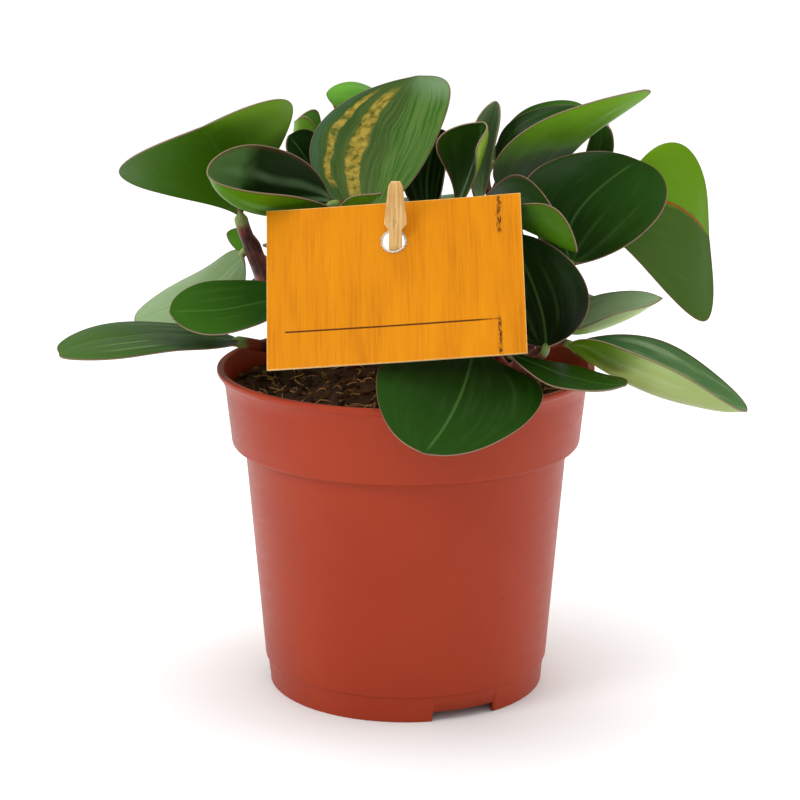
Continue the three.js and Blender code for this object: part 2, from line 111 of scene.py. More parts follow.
class Shader:
    """One material's nodes, and the few calls that its finish is written in."""

    def __init__(self, name: str) -> None:
        """Starts an empty material.

        Args:
            name: the material's name.
        """
        self.material = bpy.data.materials.new(name)
        self.material.use_nodes = True
        self.tree = self.material.node_tree
        self.tree.nodes.clear()
        self.place = self.node("ShaderNodeTexCoord").outputs["Object"]

    def node(
        self,
        kind: str,
        settings: Mapping[str, object] | None = None,
        sockets: Mapping[str | int, object] | None = None,
    ) -> bpy.types.Node:
        """Adds any node.

        Args:
            kind: the node's type.
            settings: its settings, which are set first, with a ramp's stops as (place, colour) pairs.
            sockets: values or links of its inputs, by name or number.

        Returns:
            The new node.
        """
        made = self.tree.nodes.new(kind)
        for name, setting in (settings or {}).items():
            if name == "stops":
                self._set_stops(made.color_ramp, setting)
            else:
                setattr(made, name, setting)
        for name, given in (sockets or {}).items():
            given = given.socket if isinstance(given, Value) else given
            if isinstance(given, bpy.types.NodeSocket):
                self.tree.links.new(given, made.inputs[name])
            else:
                made.inputs[name].default_value = given
        return made

    @staticmethod
    def _set_stops(ramp: bpy.types.ColorRamp, stops: Sequence[tuple[float, str]]) -> None:
        """Gives a ramp its stops, each a place and a colour code.

        Args:
            ramp: the ramp.
            stops: its stops in order.
        """
        while len(ramp.elements) < len(stops):
            ramp.elements.new(1.0)
        for element, (place, code) in zip(ramp.elements, stops):
            element.position = place
            element.color = paint(code)

    def maths(self, operation: str, *terms: Value | float) -> Value:
        """The result of a Math node on some terms."""
        made = self.node("ShaderNodeMath", {"operation": operation}, dict(enumerate(terms)))
        return Value(self, made.outputs[0])

    def attribute(self, name: str) -> Value:
        """A number that the mesh carries."""
        return Value(self, self.node("ShaderNodeAttribute", {"attribute_name": name}).outputs["Fac"])

    def stretched(self, scale: Point) -> bpy.types.NodeSocket:
        """Object coordinates with each axis multiplied by its scale."""
        return self.node("ShaderNodeMapping", None, {"Vector": self.place, "Scale": scale}).outputs[0]

    def vector(self, x: Value | float, y: Value | float, z: Value | float = 0.0) -> bpy.types.NodeSocket:
        """A vector from its three numbers."""
        return self.node("ShaderNodeCombineXYZ", None, {0: x, 1: y, 2: z}).outputs[0]

    def noise(
        self,
        scale: float,
        detail: float = 3.0,
        roughness: float = 0.5,
        where: bpy.types.NodeSocket | None = None,
    ) -> Value:
        """Cloudy noise from 0 to 1.

        Args:
            scale: lumps in a metre.
            detail: how many finer layers it has.
            roughness: how strong the finer layers are.
            where: the coordinates it lies on, or the object's own.

        Returns:
            The noise.
        """
        sockets = {
            "Vector": self.place if where is None else where,
            "Scale": scale,
            "Detail": detail,
            "Roughness": roughness,
        }
        return Value(self, self.node("ShaderNodeTexNoise", None, sockets).outputs[0])

    def cells(self, scale: float, where: bpy.types.NodeSocket | None = None) -> Value:
        """The distance to the nearest of many scattered points, of which a metre holds scale."""
        sockets = {"Vector": self.place if where is None else where, "Scale": scale}
        return Value(self, self.node("ShaderNodeTexVoronoi", None, sockets).outputs["Distance"])

    def step(self, value: Value, low: float, high: float) -> Value:
        """A smooth step from 0 at low to 1 at high, which may be the smaller.

        Args:
            value: what is stepped.
            low: where the step is 0.
            high: where the step is 1.

        Returns:
            The step.
        """
        first, last = min(low, high), max(low, high)
        sockets = {"Value": value, "From Min": first, "From Max": last}
        made = self.node("ShaderNodeMapRange", {"interpolation_type": "SMOOTHSTEP"}, sockets)
        rise = Value(self, made.outputs["Result"])
        return rise if low <= high else 1 - rise

    def mix(
        self,
        share: Value | float,
        first: bpy.types.NodeSocket | str,
        second: bpy.types.NodeSocket | str,
    ) -> bpy.types.NodeSocket:
        """Two colours, each a socket or a code, mixed by a share of the second."""
        first, second = (paint(c) if isinstance(c, str) else c for c in (first, second))
        return self.node("ShaderNodeMix", {"data_type": "RGBA"}, {0: share, 6: first, 7: second}).outputs[2]

    def ramp(self, value: Value, stops: Sequence[tuple[float, str]]) -> bpy.types.NodeSocket:
        """A colour picked along some stops."""
        return self.node("ShaderNodeValToRGB", {"stops": stops}, {0: value}).outputs[0]

    def bump(self, height: Value, depth: float) -> bpy.types.NodeSocket:
        """A normal from a height of 0 to 1, where 1 is some millimetres deep."""
        return self.node("ShaderNodeBump", None, {"Height": height, "Distance": depth * MM}).outputs[0]

    def finish(self, sockets: Mapping[str, object]) -> bpy.types.Material:
        """Closes the material with one Principled surface of the given sockets.

        Args:
            sockets: values or links of the surface's inputs.

        Returns:
            The material.
        """
        surface = self.node("ShaderNodeBsdfPrincipled", None, sockets)
        self.node("ShaderNodeOutputMaterial", None, {"Surface": surface.outputs[0]})
        return self.material


# ---------------------------------------------------------------- finishes


@dataclass(frozen=True)
class PotPlastic:
    """Moulded terracotta-red plastic, semi-matt, with faint scuffs and a few specks of dried soil."""

    deep: str = "#932d0f"
    light: str = "#993212"
    scuff: str = "#b0573a"
    dirt: str = "#3d2417"
    roughness: float = 0.42

    def dress(self) -> bpy.types.Material:
        """Builds the material.

        Returns:
            The material.
        """
        shader = Shader("pot plastic")
        cloud = shader.noise(22.0, 3.0)
        grain = shader.noise(1500.0, 2.0)
        body = shader.mix(shader.step(cloud, 0.3, 0.7), self.deep, self.light)
        rubbed = shader.noise(90.0, 6.0, 0.7, shader.stretched((1.0, 1.0, 4.0)))
        body = shader.mix(shader.step(rubbed, 0.62, 0.8) * 0.35, body, self.scuff)
        specks = shader.step(shader.cells(55.0), 0.07, 0.03) * shader.step(shader.noise(14.0), 0.5, 0.62)
        body = shader.mix(specks * 0.8, body, self.dirt)
        roughness = self.roughness + (rubbed - 0.5) * 0.25 + (grain - 0.5) * 0.08
        return shader.finish(
            {
                "Base Color": body,
                "Roughness": roughness,
                "Specular IOR Level": 0.2,
                "Coat Weight": 0.02,
                "Coat Roughness": 0.3,
                "Normal": shader.bump(grain + rubbed * 0.6, 0.03),
            }
        )


@dataclass(frozen=True)
class Peat:
    """Dark crumbs with paler ones among them and golden strands."""

    dark: str = "#1c0f06"
    brown: str = "#4a2c13"
    pale: str = "#835c30"
    strand: str = "#c08f50"

    def dress(self) -> bpy.types.Material:
        """Builds the material.

        Returns:
            The material.
        """
        shader = Shader("peat")
        shade, strand = shader.attribute("shade"), shader.attribute("strand")
        cloud = shader.noise(420.0, 5.0, 0.65)
        stops = [(0.25, self.dark), (0.55, self.brown), (0.85, self.pale)]
        crumb = shader.ramp(cloud * 0.6 + shade * 0.4, stops)
        streak = shader.mix(shader.noise(900.0), self.strand, self.pale)
        return shader.finish(
            {
                "Base Color": shader.mix(strand, crumb, streak),
                "Roughness": 0.82 + (cloud - 0.5) * 0.2,
                "Specular IOR Level": 0.25,
                "Normal": shader.bump(cloud, 0.5),
            }
        )


@dataclass(frozen=True)
class LeafSkin:
    """Thick waxy leaf. Each face's colour changes from near its base to near its tip."""

    name: str
    upper: tuple[str, str]
    under: tuple[str, str]
    change: tuple[float, float] = (0.15, 0.95)
    slant: float = 0.0
    margin: str = "#5a2a18"
    # painted highlight: a pale line along the outermost edge of the rounded margin
    rim: str = "#86705e"
    vein: str = "#6f9448"
    vein_strength: float = 0.08
    streak_strength: float = 0.045
    rib: str = "#55803a"
    rib_strength: float = 0.3
    specular: float = 0.34
    roughness: float = 0.38

    def upper_colour(self, shader: Shader, marks: LeafMarks) -> bpy.types.NodeSocket:
        """The upper face's colour before its margin is laid on."""
        return self._veined(shader, marks, shader.mix(self._far(shader, marks), *self.upper))

    def under_colour(self, shader: Shader, marks: LeafMarks) -> bpy.types.NodeSocket:
        """The underside's colour before its margin is laid on."""
        return self._veined(shader, marks, shader.mix(self._far(shader, marks), *self.under))

    def _far(self, shader: Shader, marks: LeafMarks) -> Value:
        """How far the colour has changed, from 0 near the base to 1 near the tip."""
        place = marks.along * (1 - abs(self.slant)) + marks.across * self.slant + (marks.mottle - 0.5) * 0.3
        return shader.step(place, *self.change)

    def _veined(self, shader: Shader, marks: LeafMarks, body: bpy.types.NodeSocket) -> bpy.types.NodeSocket:
        """A colour with its soft streaks, side veins and midrib laid on.

        Args:
            shader: the material that is being built.
            marks: the blade's veins and mottling.
            body: the colour below them.

        Returns:
            The colour's socket.
        """
        body = shader.mix(marks.streaks * self.streak_strength, body, self.vein)
        body = shader.mix(marks.veins * self.vein_strength, body, self.vein)
        return shader.mix(marks.midrib * self.rib_strength, body, self.rib)

    def dress(self) -> bpy.types.Material:
        """Builds the material.

        Returns:
            The material.
        """
        shader = Shader(self.name)
        marks = LeafMarks(shader)
        body = shader.mix(marks.side, self.under_colour(shader, marks), self.upper_colour(shader, marks))
        line = shader.step(marks.inset, 0.5, 0.1) * 0.5
        body = shader.mix(line, body, self.margin)
        # painted highlight: the margin's outermost edge is laid over with the pale rim colour
        edge = shader.step(marks.inset, 0.1, 0.01)
        body = shader.mix(edge * 0.85, body, self.rim)
        pores = shader.noise(2600.0, 2.0)
        roughness = self.roughness + (marks.mottle - 0.5) * 0.16 + (pores - 0.5) * 0.1
        return shader.finish(
            {
                "Base Color": body,
                "Roughness": roughness,
                "Specular IOR Level": self.specular,
                "Coat Weight": 0.02,
                "Coat Roughness": 0.22,
                "Normal": shader.bump(pores * 0.5 + marks.mottle + marks.veins * -0.4, 0.1),
            }
        )


class LeafMarks:
    """What a blade's mesh says about each point of it, and the veins and mottling drawn from that."""

    def __init__(self, shader: Shader) -> None:
        """Reads the numbers of a blade's mesh into a material that is being built.

        Args:
            shader: the material that is being built.
        """
        self.along = shader.attribute("along")
        self.across = shader.attribute("across")
        self.side = shader.attribute("side")
        self.inset = shader.attribute("inset")
        self.half_width = shader.attribute("half_width")
        self.mottle = shader.noise(85.0, 5.0, 0.6)
        self.reach = abs(self.across) * self.half_width
        wander = (shader.noise(60.0, 1.0) - 0.5) * 2.4
        self.veins = self._veins(shader, wander)
        self.midrib = shader.step(self.reach, 0.75, 0.15) * shader.step(self.along, 1.0, 0.9)
        fan = shader.vector(self.across * 7.0, self.along * 1.4)
        self.streaks = shader.step(shader.noise(1.0, 3.0, 0.6, fan), 0.48, 0.72)

    def _veins(self, shader: Shader, wander: Value) -> Value:
        """Soft broken lines that run from base to tip.

        Args:
            shader: the material that is being built.
            wander: how far the lines stray.

        Returns:
            How strong the lines are, from 0 to 1.
        """
        veins = None
        for place in VEIN_PLACES:
            away = abs(self.reach + wander * place - self.half_width * place)
            line = shader.step(away, 1.0, 0.1)
            veins = line if veins is None else shader.maths("MAXIMUM", veins, line)
        broken = shader.step(shader.noise(45.0, 1.0), 0.42, 0.6)
        return veins * broken * shader.step(self.along, 0.97, 0.6)


@dataclass(frozen=True)
class VariegatedSkin(LeafSkin):
    """The leaf with crinkled ochre bands along its veins on one half and bright streaks on the other, with
    painted sheen at its tip and along one margin.
    """

    ochre: tuple[str, str] = ("#80701c", "#b89e3c")
    crease: str = "#4c5a18"
    bands: tuple[tuple[float, float], ...] = ((0.4, 0.12), (0.77, 0.05), (-0.16, 0.03))
    bright: tuple[str, str] = ("#2f5a12", "#52722c")
    # painted sheen: a pale grey laid over the tip and a blue-green laid along one margin
    sheen_grey: str = "#74906a"
    sheen_blue: str = "#3f6a58"

    def upper_colour(self, shader: Shader, marks: LeafMarks) -> bpy.types.NodeSocket:
        """The upper face's colour, in bands and streaks along the veins, with painted sheen at its tip and
        along one margin.

        Args:
            shader: the material that is being built.
            marks: the blade's veins and mottling.

        Returns:
            The colour's socket.
        """
        ripple = (shader.noise(95.0, 3.0) - 0.5) * 0.2
        place = marks.across + ripple
        streaks = shader.noise(1.0, 3.0, 0.6, shader.vector(place * 26.0, marks.along * 2.2))
        bright = shader.mix(shader.step(streaks, 0.35, 0.62), *self.bright)
        plain = shader.mix(shader.step(streaks, 0.4, 0.7), *self.upper)
        body = shader.mix(shader.step(place, 0.0, 0.2), plain, bright)
        # painted sheen: a blue-green haze along the margin on the across -1 side
        body = shader.mix(shader.step(place, -0.84, -0.97) * 0.45, body, self.sheen_blue)
        crinkle = shader.noise(1.0, 4.0, 0.6, shader.vector(place * 9.0, marks.along * 22.0))
        for number, (centre, half) in enumerate(self.bands):
            away = abs(place + centre)
            band = shader.step(away, half * 1.25, half * 0.75) * shader.step(marks.along, 0.95, 0.84)
            band = band * shader.step(marks.along, 0.04 + 0.14 * number, 0.2)
            patch = shader.mix(shader.step(crinkle, 0.35, 0.65), *self.ochre)
            patch = shader.mix(shader.step(crinkle, 0.47, 0.34) * 0.75, patch, self.crease)
            whole = shader.step(marks.mottle, 0.3 + 0.09 * number, 0.44 + 0.09 * number)
            body = shader.mix(band * whole * 0.9, body, patch)
        # painted sheen: a pale grey over the tip and the upper end of the across +1 side
        return shader.mix(shader.step(marks.along + marks.across * 0.22, 0.84, 1.08) * 0.65, body, self.sheen_grey)


@dataclass(frozen=True)
class StemSkin:
    """Smooth red-brown stems that turn green where they widen into a blade."""

    red: tuple[str, str] = ("#3a0e06", "#7a2a16")
    green: tuple[str, str] = ("#5e7a32", "#86994f")
    fork: str = "#a8705e"

    def dress(self) -> bpy.types.Material:
        """Builds the material.

        Returns:
            The material.
        """
        shader = Shader("stem skin")
        ripe, fork = shader.attribute("ripe"), shader.attribute("fork")
        cloud = shader.noise(160.0, 4.0)
        specks = shader.step(shader.noise(1300.0, 2.0), 0.6, 0.72)
        red = shader.mix(shader.step(cloud, 0.3, 0.7), *self.red)
        green = shader.mix(shader.step(cloud, 0.3, 0.7), *self.green)
        body = shader.mix(shader.step(ripe + (cloud - 0.5) * 0.4, 0.25, 0.8), red, green)
        body = shader.mix(specks * 0.25, body, self.fork)
        body = shader.mix(fork * shader.step(cloud, 0.42, 0.6) * 0.5, body, self.fork)
        return shader.finish(
            {
                "Base Color": body,
                "Roughness": 0.38 + (cloud - 0.5) * 0.2,
                "Coat Weight": 0.1,
                "Coat Roughness": 0.25,
                "Normal": shader.bump(cloud + specks * 0.3, 0.12),
            }
        )


@dataclass(frozen=True)
class PrintedCard:
    """A card with a printed wood grain, dark splits at its right, and bare paper at its edges and back."""

    grain: tuple[str, str, str] = ("#b56a00", "#c87a00", "#cf8400")
    streak: str = "#8a4604"
    split: str = "#3c1e08"
    paper: str = "#d8b070"
    pulp: str = "#cdbb9b"
    rule: str = "#4a2208"
    half_width: float = 42.0
    half_height: float = 28.35
    splits: tuple[tuple[float, float, float, float], ...] = (
        (34.6, 1.0, 14.0, 29.0),
        (33.6, 0.9, -29.0, -14.0),
    )  # each one's place across, half width, lowest point and highest
    rule_middle: float = -1.1
    rule_half: float = 35.1
    rule_height: float = -15.6

    def dress(self) -> bpy.types.Material:
        """Builds the material.

        Returns:
            The material.
        """
        shader = Shader("printed card")
        x, y, front = shader.attribute("card_x"), shader.attribute("card_y"), shader.attribute("front")
        inset = shader.maths("MINIMUM", self.half_width - abs(x), self.half_height - abs(y))
        fibre = shader.noise(1.0, 6.0, 0.65, shader.vector(x * 1.1, y * 0.045))
        wave = shader.noise(1.0, 3.0, 0.5, shader.vector(x * 0.12 + (fibre - 0.5) * 0.6, y * 0.02))
        tone = fibre * 0.5 + wave * 0.5
        body = shader.ramp(tone, list(zip((0.34, 0.5, 0.66), self.grain)))
        fleck = shader.noise(1.0, 5.0, 0.7, shader.vector(x * 2.2, y * 0.16))
        body = shader.mix(shader.step(fleck, 0.6, 0.76) * 0.4, body, self.streak)
        scratch = shader.noise(1.0, 5.0, 0.75, shader.vector(x * 2.4, y * 0.5))
        bend = (shader.noise(1.0, 3.0, 0.6, shader.vector(0.0, y * 0.22)) - 0.5) * 2.6
        for place, half, low, high in self.splits:
            middle, reach = (low + high) / 2, (high - low) / 2
            line = shader.step(abs(x - place + bend), half, half * 0.3)
            line = line * shader.step(abs(y - middle), reach, reach - 2.0)
            body = shader.mix(line * shader.step(scratch, 0.42, 0.55), body, self.split)
        ends = shader.step(abs(x - self.rule_middle), self.rule_half, self.rule_half - 0.4)
        ruled = shader.step(abs(y - self.rule_height), 0.4, 0.2) * ends
        faded = 1 - shader.step(x, 26.0, 34.0) * shader.step(scratch, 0.35, 0.55)
        body = shader.mix(ruled * faded * 0.95, body, self.rule)
        rubbed = shader.noise(0.6, 5.0, 0.7, shader.vector(x, y))
        bare = shader.step(inset + (rubbed - 0.5) * 0.8, 0.3, 0.1)
        body = shader.mix(bare * 0.7, body, self.paper)
        pulp = shader.noise(700.0, 4.0)
        back = shader.mix(shader.step(pulp, 0.3, 0.7), self.paper, self.pulp)
        body = shader.mix(shader.step(front, 0.9, 0.99), back, body)
        return shader.finish(
            {
                "Base Color": body,
                "Roughness": 0.5 + (fibre - 0.5) * 0.25,
                "Specular IOR Level": 0.12,
                "Normal": shader.bump(fibre * 0.5 + pulp, 0.04),
            }
        )


@dataclass(frozen=True)
class TornPaper:
    """The white pulp of the card where it was punched."""

    white: str = "#dcd6cc"
    shade: str = "#a08c70"

    def dress(self) -> bpy.types.Material:
        """Builds the material.

        Returns:
            The material.
        """
        shader = Shader("torn paper")
        pulp = shader.noise(1500.0, 4.0, 0.7)
        return shader.finish(
            {
                "Base Color": shader.mix(shader.step(pulp, 0.45, 0.75), self.white, self.shade),
                "Roughness": 0.8 + (pulp - 0.5) * 0.2,
                "Specular IOR Level": 0.2,
                "Normal": shader.bump(pulp, 0.15),
            }
        )


@dataclass(frozen=True)
class LightWood:
    """Pale split wood with fine grain along it."""

    light: str = "#d9b375"
    deep: str = "#b98a4e"
    fleck: str = "#6f4a28"

    def dress(self) -> bpy.types.Material:
        """Builds the material.

        Returns:
            The material.
        """
        shader = Shader("light wood")
        grain = shader.noise(1400.0, 4.0, 0.6, shader.stretched((1.0, 1.0, 0.03)))
        cloud = shader.noise(120.0, 3.0)
        fleck = shader.step(shader.noise(2200.0, 2.0, 0.5, shader.stretched((1.0, 1.0, 0.08))), 0.66, 0.74)
        body = shader.mix(shader.step(grain * 0.7 + cloud * 0.3, 0.36, 0.66), self.light, self.deep)
        body = shader.mix(fleck * 0.6, body, self.fleck)
        return shader.finish(
            {
                "Base Color": body,
                "Roughness": 0.62 + (grain - 0.5) * 0.3,
                "Specular IOR Level": 0.3,
                "Normal": shader.bump(grain, 0.12),
            }
        )


@dataclass(frozen=True)
class StudioPaper:
    """The plain pale floor."""

    tones: tuple[str, str] = ("#f4f4f4", "#f0f0f0")

    def dress(self) -> bpy.types.Material:
        """Builds the material.

        Returns:
            The material.
        """
        shader = Shader("studio paper")
        body = shader.mix(shader.noise(3.0, 2.0), *self.tones)
        return shader.finish({"Base Color": body, "Roughness": 0.9, "Specular IOR Level": 0.1})


class Tone(Enum):
    """The greens that the plant's leaves come in, some of them with painted light or shade in their colours.
    """

    DEEP = LeafSkin("leaf deep", ("#122c02", "#1c4006"), ("#2c5402", "#406a04"), specular=0.22)
    # painted shadow: the darkest green, for leaves that sit in the shadow of others
    SHADOWED = LeafSkin("leaf shadowed", ("#081802", "#102a05"), ("#2c5004", "#3f660a"), specular=0.16)
    MID = LeafSkin("leaf mid", ("#1f4607", "#305c0d"), ("#3f6e06", "#5c8c14"))
    BRIGHT = LeafSkin("leaf bright", ("#37700c", "#559020"), ("#3f7406", "#6b9c18"))
    OLIVE = LeafSkin(
        "leaf olive", ("#1d4006", "#345c12"), ("#3a6404", "#6c9624"), (0.2, 0.95), -0.7, specular=0.18
    )
    LIME = LeafSkin("leaf lime", ("#2a5408", "#3c6a12"), ("#284c03", "#6e9e20"), (0.25, 0.95), specular=0.2)
    # partly painted sheen: the leaf's green is lightened to a pale grey-green that stands in for the sky
    # mirrored at a grazing angle
    PALE_SHEENED = LeafSkin(
        "leaf pale sheened", ("#677e52", "#7c9469"), ("#7fa048", "#a6c070"), streak_strength=0.35, vein="#94a886"
    )
    RIDGED = LeafSkin(
        "leaf ridged",
        ("#1b3a05", "#385a14"),
        ("#41700a", "#6f9440"),
        streak_strength=0.15,
        vein="#6f8c50",
        vein_strength=0.45,
        specular=0.04,
    )
    # painted sheen: the upper face turns from dark green to pale grey-green over its tip half, standing in
    # for mirrored light
    BOAT_SHEENED = LeafSkin(
        "leaf boat sheened",
        ("#122a03", "#486834"),
        ("#426a02", "#508004"),
        (0.5, 0.68),
        vein="#86a878",
        vein_strength=0.3,
        streak_strength=0.0,
        specular=0.16,
    )
    # partly painted light: the underside's own paler green is brightened to a yellow-green that stands in
    # for light shining through it
    CURL_BACKLIT = LeafSkin("leaf curl backlit", ("#1a3606", "#264a0a"), ("#7fae14", "#a4c44a"))
    # painted shade: the half of the blade on one side of the midrib is darker, standing in for the shade of
    # its fold; the red midrib and margin are its own
    FOLD_SHADED = LeafSkin(
        "leaf fold shaded",
        ("#37700c", "#559020"),
        ("#345204", "#567e04"),
        (-0.06, 0.06),
        1.0,
        margin="#6a2c0c",
        rib="#8a3008",
        rib_strength=0.85,
        specular=0.14,
    )
    # partly painted sheen: the upper face's greyish green stands in partly for mirrored light
    LONG_SHEENED = LeafSkin(
        "leaf long sheened",
        ("#31542a", "#4a6c3c"),
        ("#4c700a", "#92a35e"),
        (0.1, 0.6),
        margin="#48180c",
        streak_strength=0.4,
        vein="#a2b488",
        specular=0.22,
    )
    VARIEGATED = VariegatedSkin("leaf variegated", ("#3a5820", "#566a30"), ("#3a6406", "#527c12"))


# ---------------------------------------------------------------- meshes


def new_piece(
    name: str, mesh: bmesh.types.BMesh, material: bpy.types.Material | None = None
) -> bpy.types.Object:
    """Turns a finished bmesh into a piece at the origin.

    Args:
        name: the piece's name.
        mesh: the shape in millimetres, which is used up.
        material: its finish, if it has one yet.

    Returns:
        The object.
    """
    bmesh.ops.scale(mesh, vec=(MM, MM, MM), verts=mesh.verts)
    data = bpy.data.meshes.new(name)
    mesh.to_mesh(data)
    mesh.free()
    for face in data.polygons:
        face.use_smooth = True
    piece = bpy.data.objects.new(name, data)
    bpy.context.scene.collection.objects.link(piece)
    if material is not None:
        data.materials.append(material)
    return piece


def settle(piece: bpy.types.Object) -> None:
    """Applies a piece's modifiers to its mesh.

    Args:
        piece: the piece.
    """
    shaped = piece.evaluated_get(bpy.context.evaluated_depsgraph_get())
    data = bpy.data.meshes.new_from_object(shaped)
    piece.modifiers.clear()
    old, piece.data = piece.data, data
    bpy.data.meshes.remove(old)


def cut_away(piece: bpy.types.Object, mesh: bmesh.types.BMesh, name: str) -> None:
    """Cuts the closed shapes of a bmesh, which is used up, out of a piece.

    Args:
        piece: the piece that is cut.
        mesh: the closed shapes, in millimetres.
        name: the cut's name.
    """
    cutter = new_piece(name, mesh)
    cut = piece.modifiers.new(name, "BOOLEAN")
    cut.object = cutter
    cut.operation = "DIFFERENCE"
    cut.solver = "EXACT"
    settle(piece)
    bpy.data.objects.remove(cutter)


def add_post(mesh: bmesh.types.BMesh, centre: Vector, radius: float, depth: float, sides: int) -> None:
    """Adds an upright round post about its centre.

    Args:
        mesh: the mesh that it is added to.
        centre: its middle.
        radius: its radius.
        depth: its height.
        sides: how many sides it has.
    """
    bmesh.ops.create_cone(
        mesh,
        cap_ends=True,
        segments=sides,
        radius1=radius,
        radius2=radius,
        depth=depth,
        matrix=Matrix.Translation(centre),
    )


def spin_round(mesh: bmesh.types.BMesh, section: Sequence[bmesh.types.BMVert], steps: int) -> None:
    """Spins a section once round the Z axis.

    Args:
        mesh: the section's mesh.
        section: its vertices and edges.
        steps: how many steps a turn has.
    """
    bmesh.ops.spin(
        mesh, geom=section, cent=(0, 0, 0), axis=(0, 0, 1), angle=2 * math.pi, steps=steps, use_merge=True
    )


def round_off(
    mesh: bmesh.types.BMesh, corners: Sequence[bmesh.types.BMVert], size: float, steps: int, kind: str
) -> None:
    """Rounds off corners, whose kind is "VERTICES" or "EDGES", by a size and in some steps.

    Args:
        mesh: the mesh.
        corners: the vertices or edges that are rounded.
        size: how far the rounding reaches.
        steps: how many faces it has.
        kind: what the corners are.
    """
    bmesh.ops.bevel(
        mesh,
        geom=corners,
        offset=size,
        offset_type="OFFSET",
        segments=steps,
        profile=0.5,
        affect=kind,
        material=-1,
    )


def register(piece: bpy.types.Object, node: str | None = None) -> None:
    """Gives a piece its body, hides the CAD node that it replaces, and logs its faces.

    Args:
        piece: the piece.
        node: the CAD node it replaces, if any.
    """
    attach(piece, BODY)
    if node is not None:
        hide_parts(node)
    LOG.info("%s: %d faces", piece.name, len(piece.data.polygons))


def smooth_path(points: Sequence[Point], steps: int) -> list[Vector]:
    """Points along a smooth curve through some points.

    Args:
        points: the points that the curve passes.
        steps: how many points each stretch between two of them gets.

    Returns:
        The points in order.
    """
    knots = [Vector(p) for p in points]
    knots = [2 * knots[0] - knots[1], *knots, 2 * knots[-1] - knots[-2]]
    path = []
    for before, start, end, after in zip(knots, knots[1:], knots[2:], knots[3:]):
        out, back = start + (end - before) / 6, end - (after - start) / 6
        path += geometry.interpolate_bezier(start, out, back, end, steps + 1)[:-1]
    return [*path, knots[-2]]


def point_along(path: Sequence[Vector], share: float) -> Vector:
    """The point at a share of a path's length.

    Args:
        path: the path's points.
        share: the share, from 0 to 1.

    Returns:
        The point.
    """
    left = share * sum((b - a).length for a, b in zip(path, path[1:]))
    for a, b in zip(path, path[1:]):
        run = (b - a).length
        if left <= run:
            return a.lerp(b, left / run)
        left -= run
    return path[-1].copy()


def grow_tube(
    mesh: bmesh.types.BMesh, centres: Sequence[Vector], radii: Sequence[float], sides: int
) -> list[bmesh.types.BMVert]:
    """Grows a closed round tube through some centres.

    Args:
        mesh: the mesh that it is added to.
        centres: the middle of each ring, in millimetres.
        radii: the radius of each ring.
        sides: how many sides the tube has.

    Returns:
        The tube's vertices.
    """
    runs = [(b - a).normalized() for a, b in zip(centres, centres[1:])]
    turn = runs[0].to_track_quat("Z", "Y")
    start = Matrix.LocRotScale(centres[0], turn, None)
    ring = bmesh.ops.create_circle(mesh, segments=sides, radius=radii[0], matrix=start)["verts"]
    verts = list(ring)
    edges = list({edge for vert in ring for edge in vert.link_edges})
    ends = [edges]
    for i in range(1, len(centres)):
        heading = (runs[i - 1] + runs[min(i, len(runs) - 1)]).normalized()
        bend = (turn @ Vector((0, 0, 1))).rotation_difference(heading)
        grown = bmesh.ops.extrude_edge_only(mesh, edges=edges)["geom"]
        edges = [g for g in grown if isinstance(g, bmesh.types.BMEdge)]
        ring = [g for g in grown if isinstance(g, bmesh.types.BMVert)]
        size = max(radii[i], 1e-3) / max(radii[i - 1], 1e-3)
        move = (
            Matrix.Translation(centres[i])
            @ bend.to_matrix().to_4x4()
            @ Matrix.Scale(size, 4)
            @ Matrix.Translation(-centres[i - 1])
        )
        bmesh.ops.transform(mesh, matrix=move, verts=ring)
        turn = bend @ turn
        verts += ring
    for loop in (ends[0], edges):
        bmesh.ops.edgeloop_fill(mesh, edges=loop)
    return verts


def smoothstep(value: float, low: float, high: float) -> float:
    """A smooth step from 0 at low to 1 at high."""
    share = min(1.0, max(0.0, (value - low) / (high - low)))
    return share * share * (3 - 2 * share)


def fading(distance: float, reach: float) -> float:
    """A bell that is 1 at no distance and about a third at its reach."""
    return math.exp(-((distance / reach) ** 2))


# ---------------------------------------------------------------- leaves


@dataclass(frozen=True)
class Blade:
    """A leaf's blade, through its base, its tip, its two margins and its midrib where it is widest.

    Left and right are as seen from above with the tip pointing away. A notch lifts the margins beside
    the tip past it, or draws them back when it is negative.
    """

    name: str
    leaves_stem: float
    base: Point
    tip: Point
    left: Point
    right: Point
    mid: Point
    tone: Tone = Tone.MID
    widest: float = 0.55
    notch: float = 0.0
    girth: float = 1.0


def spread_blade(
    name: str,
    leaves_stem: float,
    base: Point,
    heading: float,
    rise: float,
    roll: float,
    length: float,
    width: float,
    tone: Tone = Tone.MID,
) -> Blade:
    """A blade that arches evenly along its midrib, with its margins lifted into a shallow hollow.

    Args:
        name: its node's name.
        leaves_stem: how far along the stem its stalk starts.
        base: where its blade starts.
        heading: the compass angle it heads for, in degrees, with 0 along +X.
        rise: how steeply it rises, in degrees.
        roll: how far its right margin is rolled up, in degrees.
        length: the blade's length.
        width: the blade's width.
        tone: its green.

    Returns:
        The blade.
    """
    arch, hollow, widest = 0.07, 0.09, 0.55
    bearing, climb, tilt = (math.radians(angle) for angle in (heading, rise, roll))
    level = math.cos(climb)
    along = Vector((math.cos(bearing) * level, math.sin(bearing) * level, math.sin(climb)))
    sideways = Quaternion(along, -tilt) @ Vector((math.sin(bearing), -math.cos(bearing), 0))
    upward = sideways.cross(along)

    def place(far: float, aside: float, up: float) -> Point:
        """A point by its shares of the length, the width and the length again."""
        return tuple(Vector(base) + along * far * length + sideways * aside * width + upward * up * length)

    return Blade(
        name,
        leaves_stem,
        base,
        place(1, 0, -arch),
        place(widest, -0.5, arch + hollow),
        place(widest, 0.5, arch + hollow),
        place(widest, 0, arch),
        tone,
        widest,
        1.0,
    )


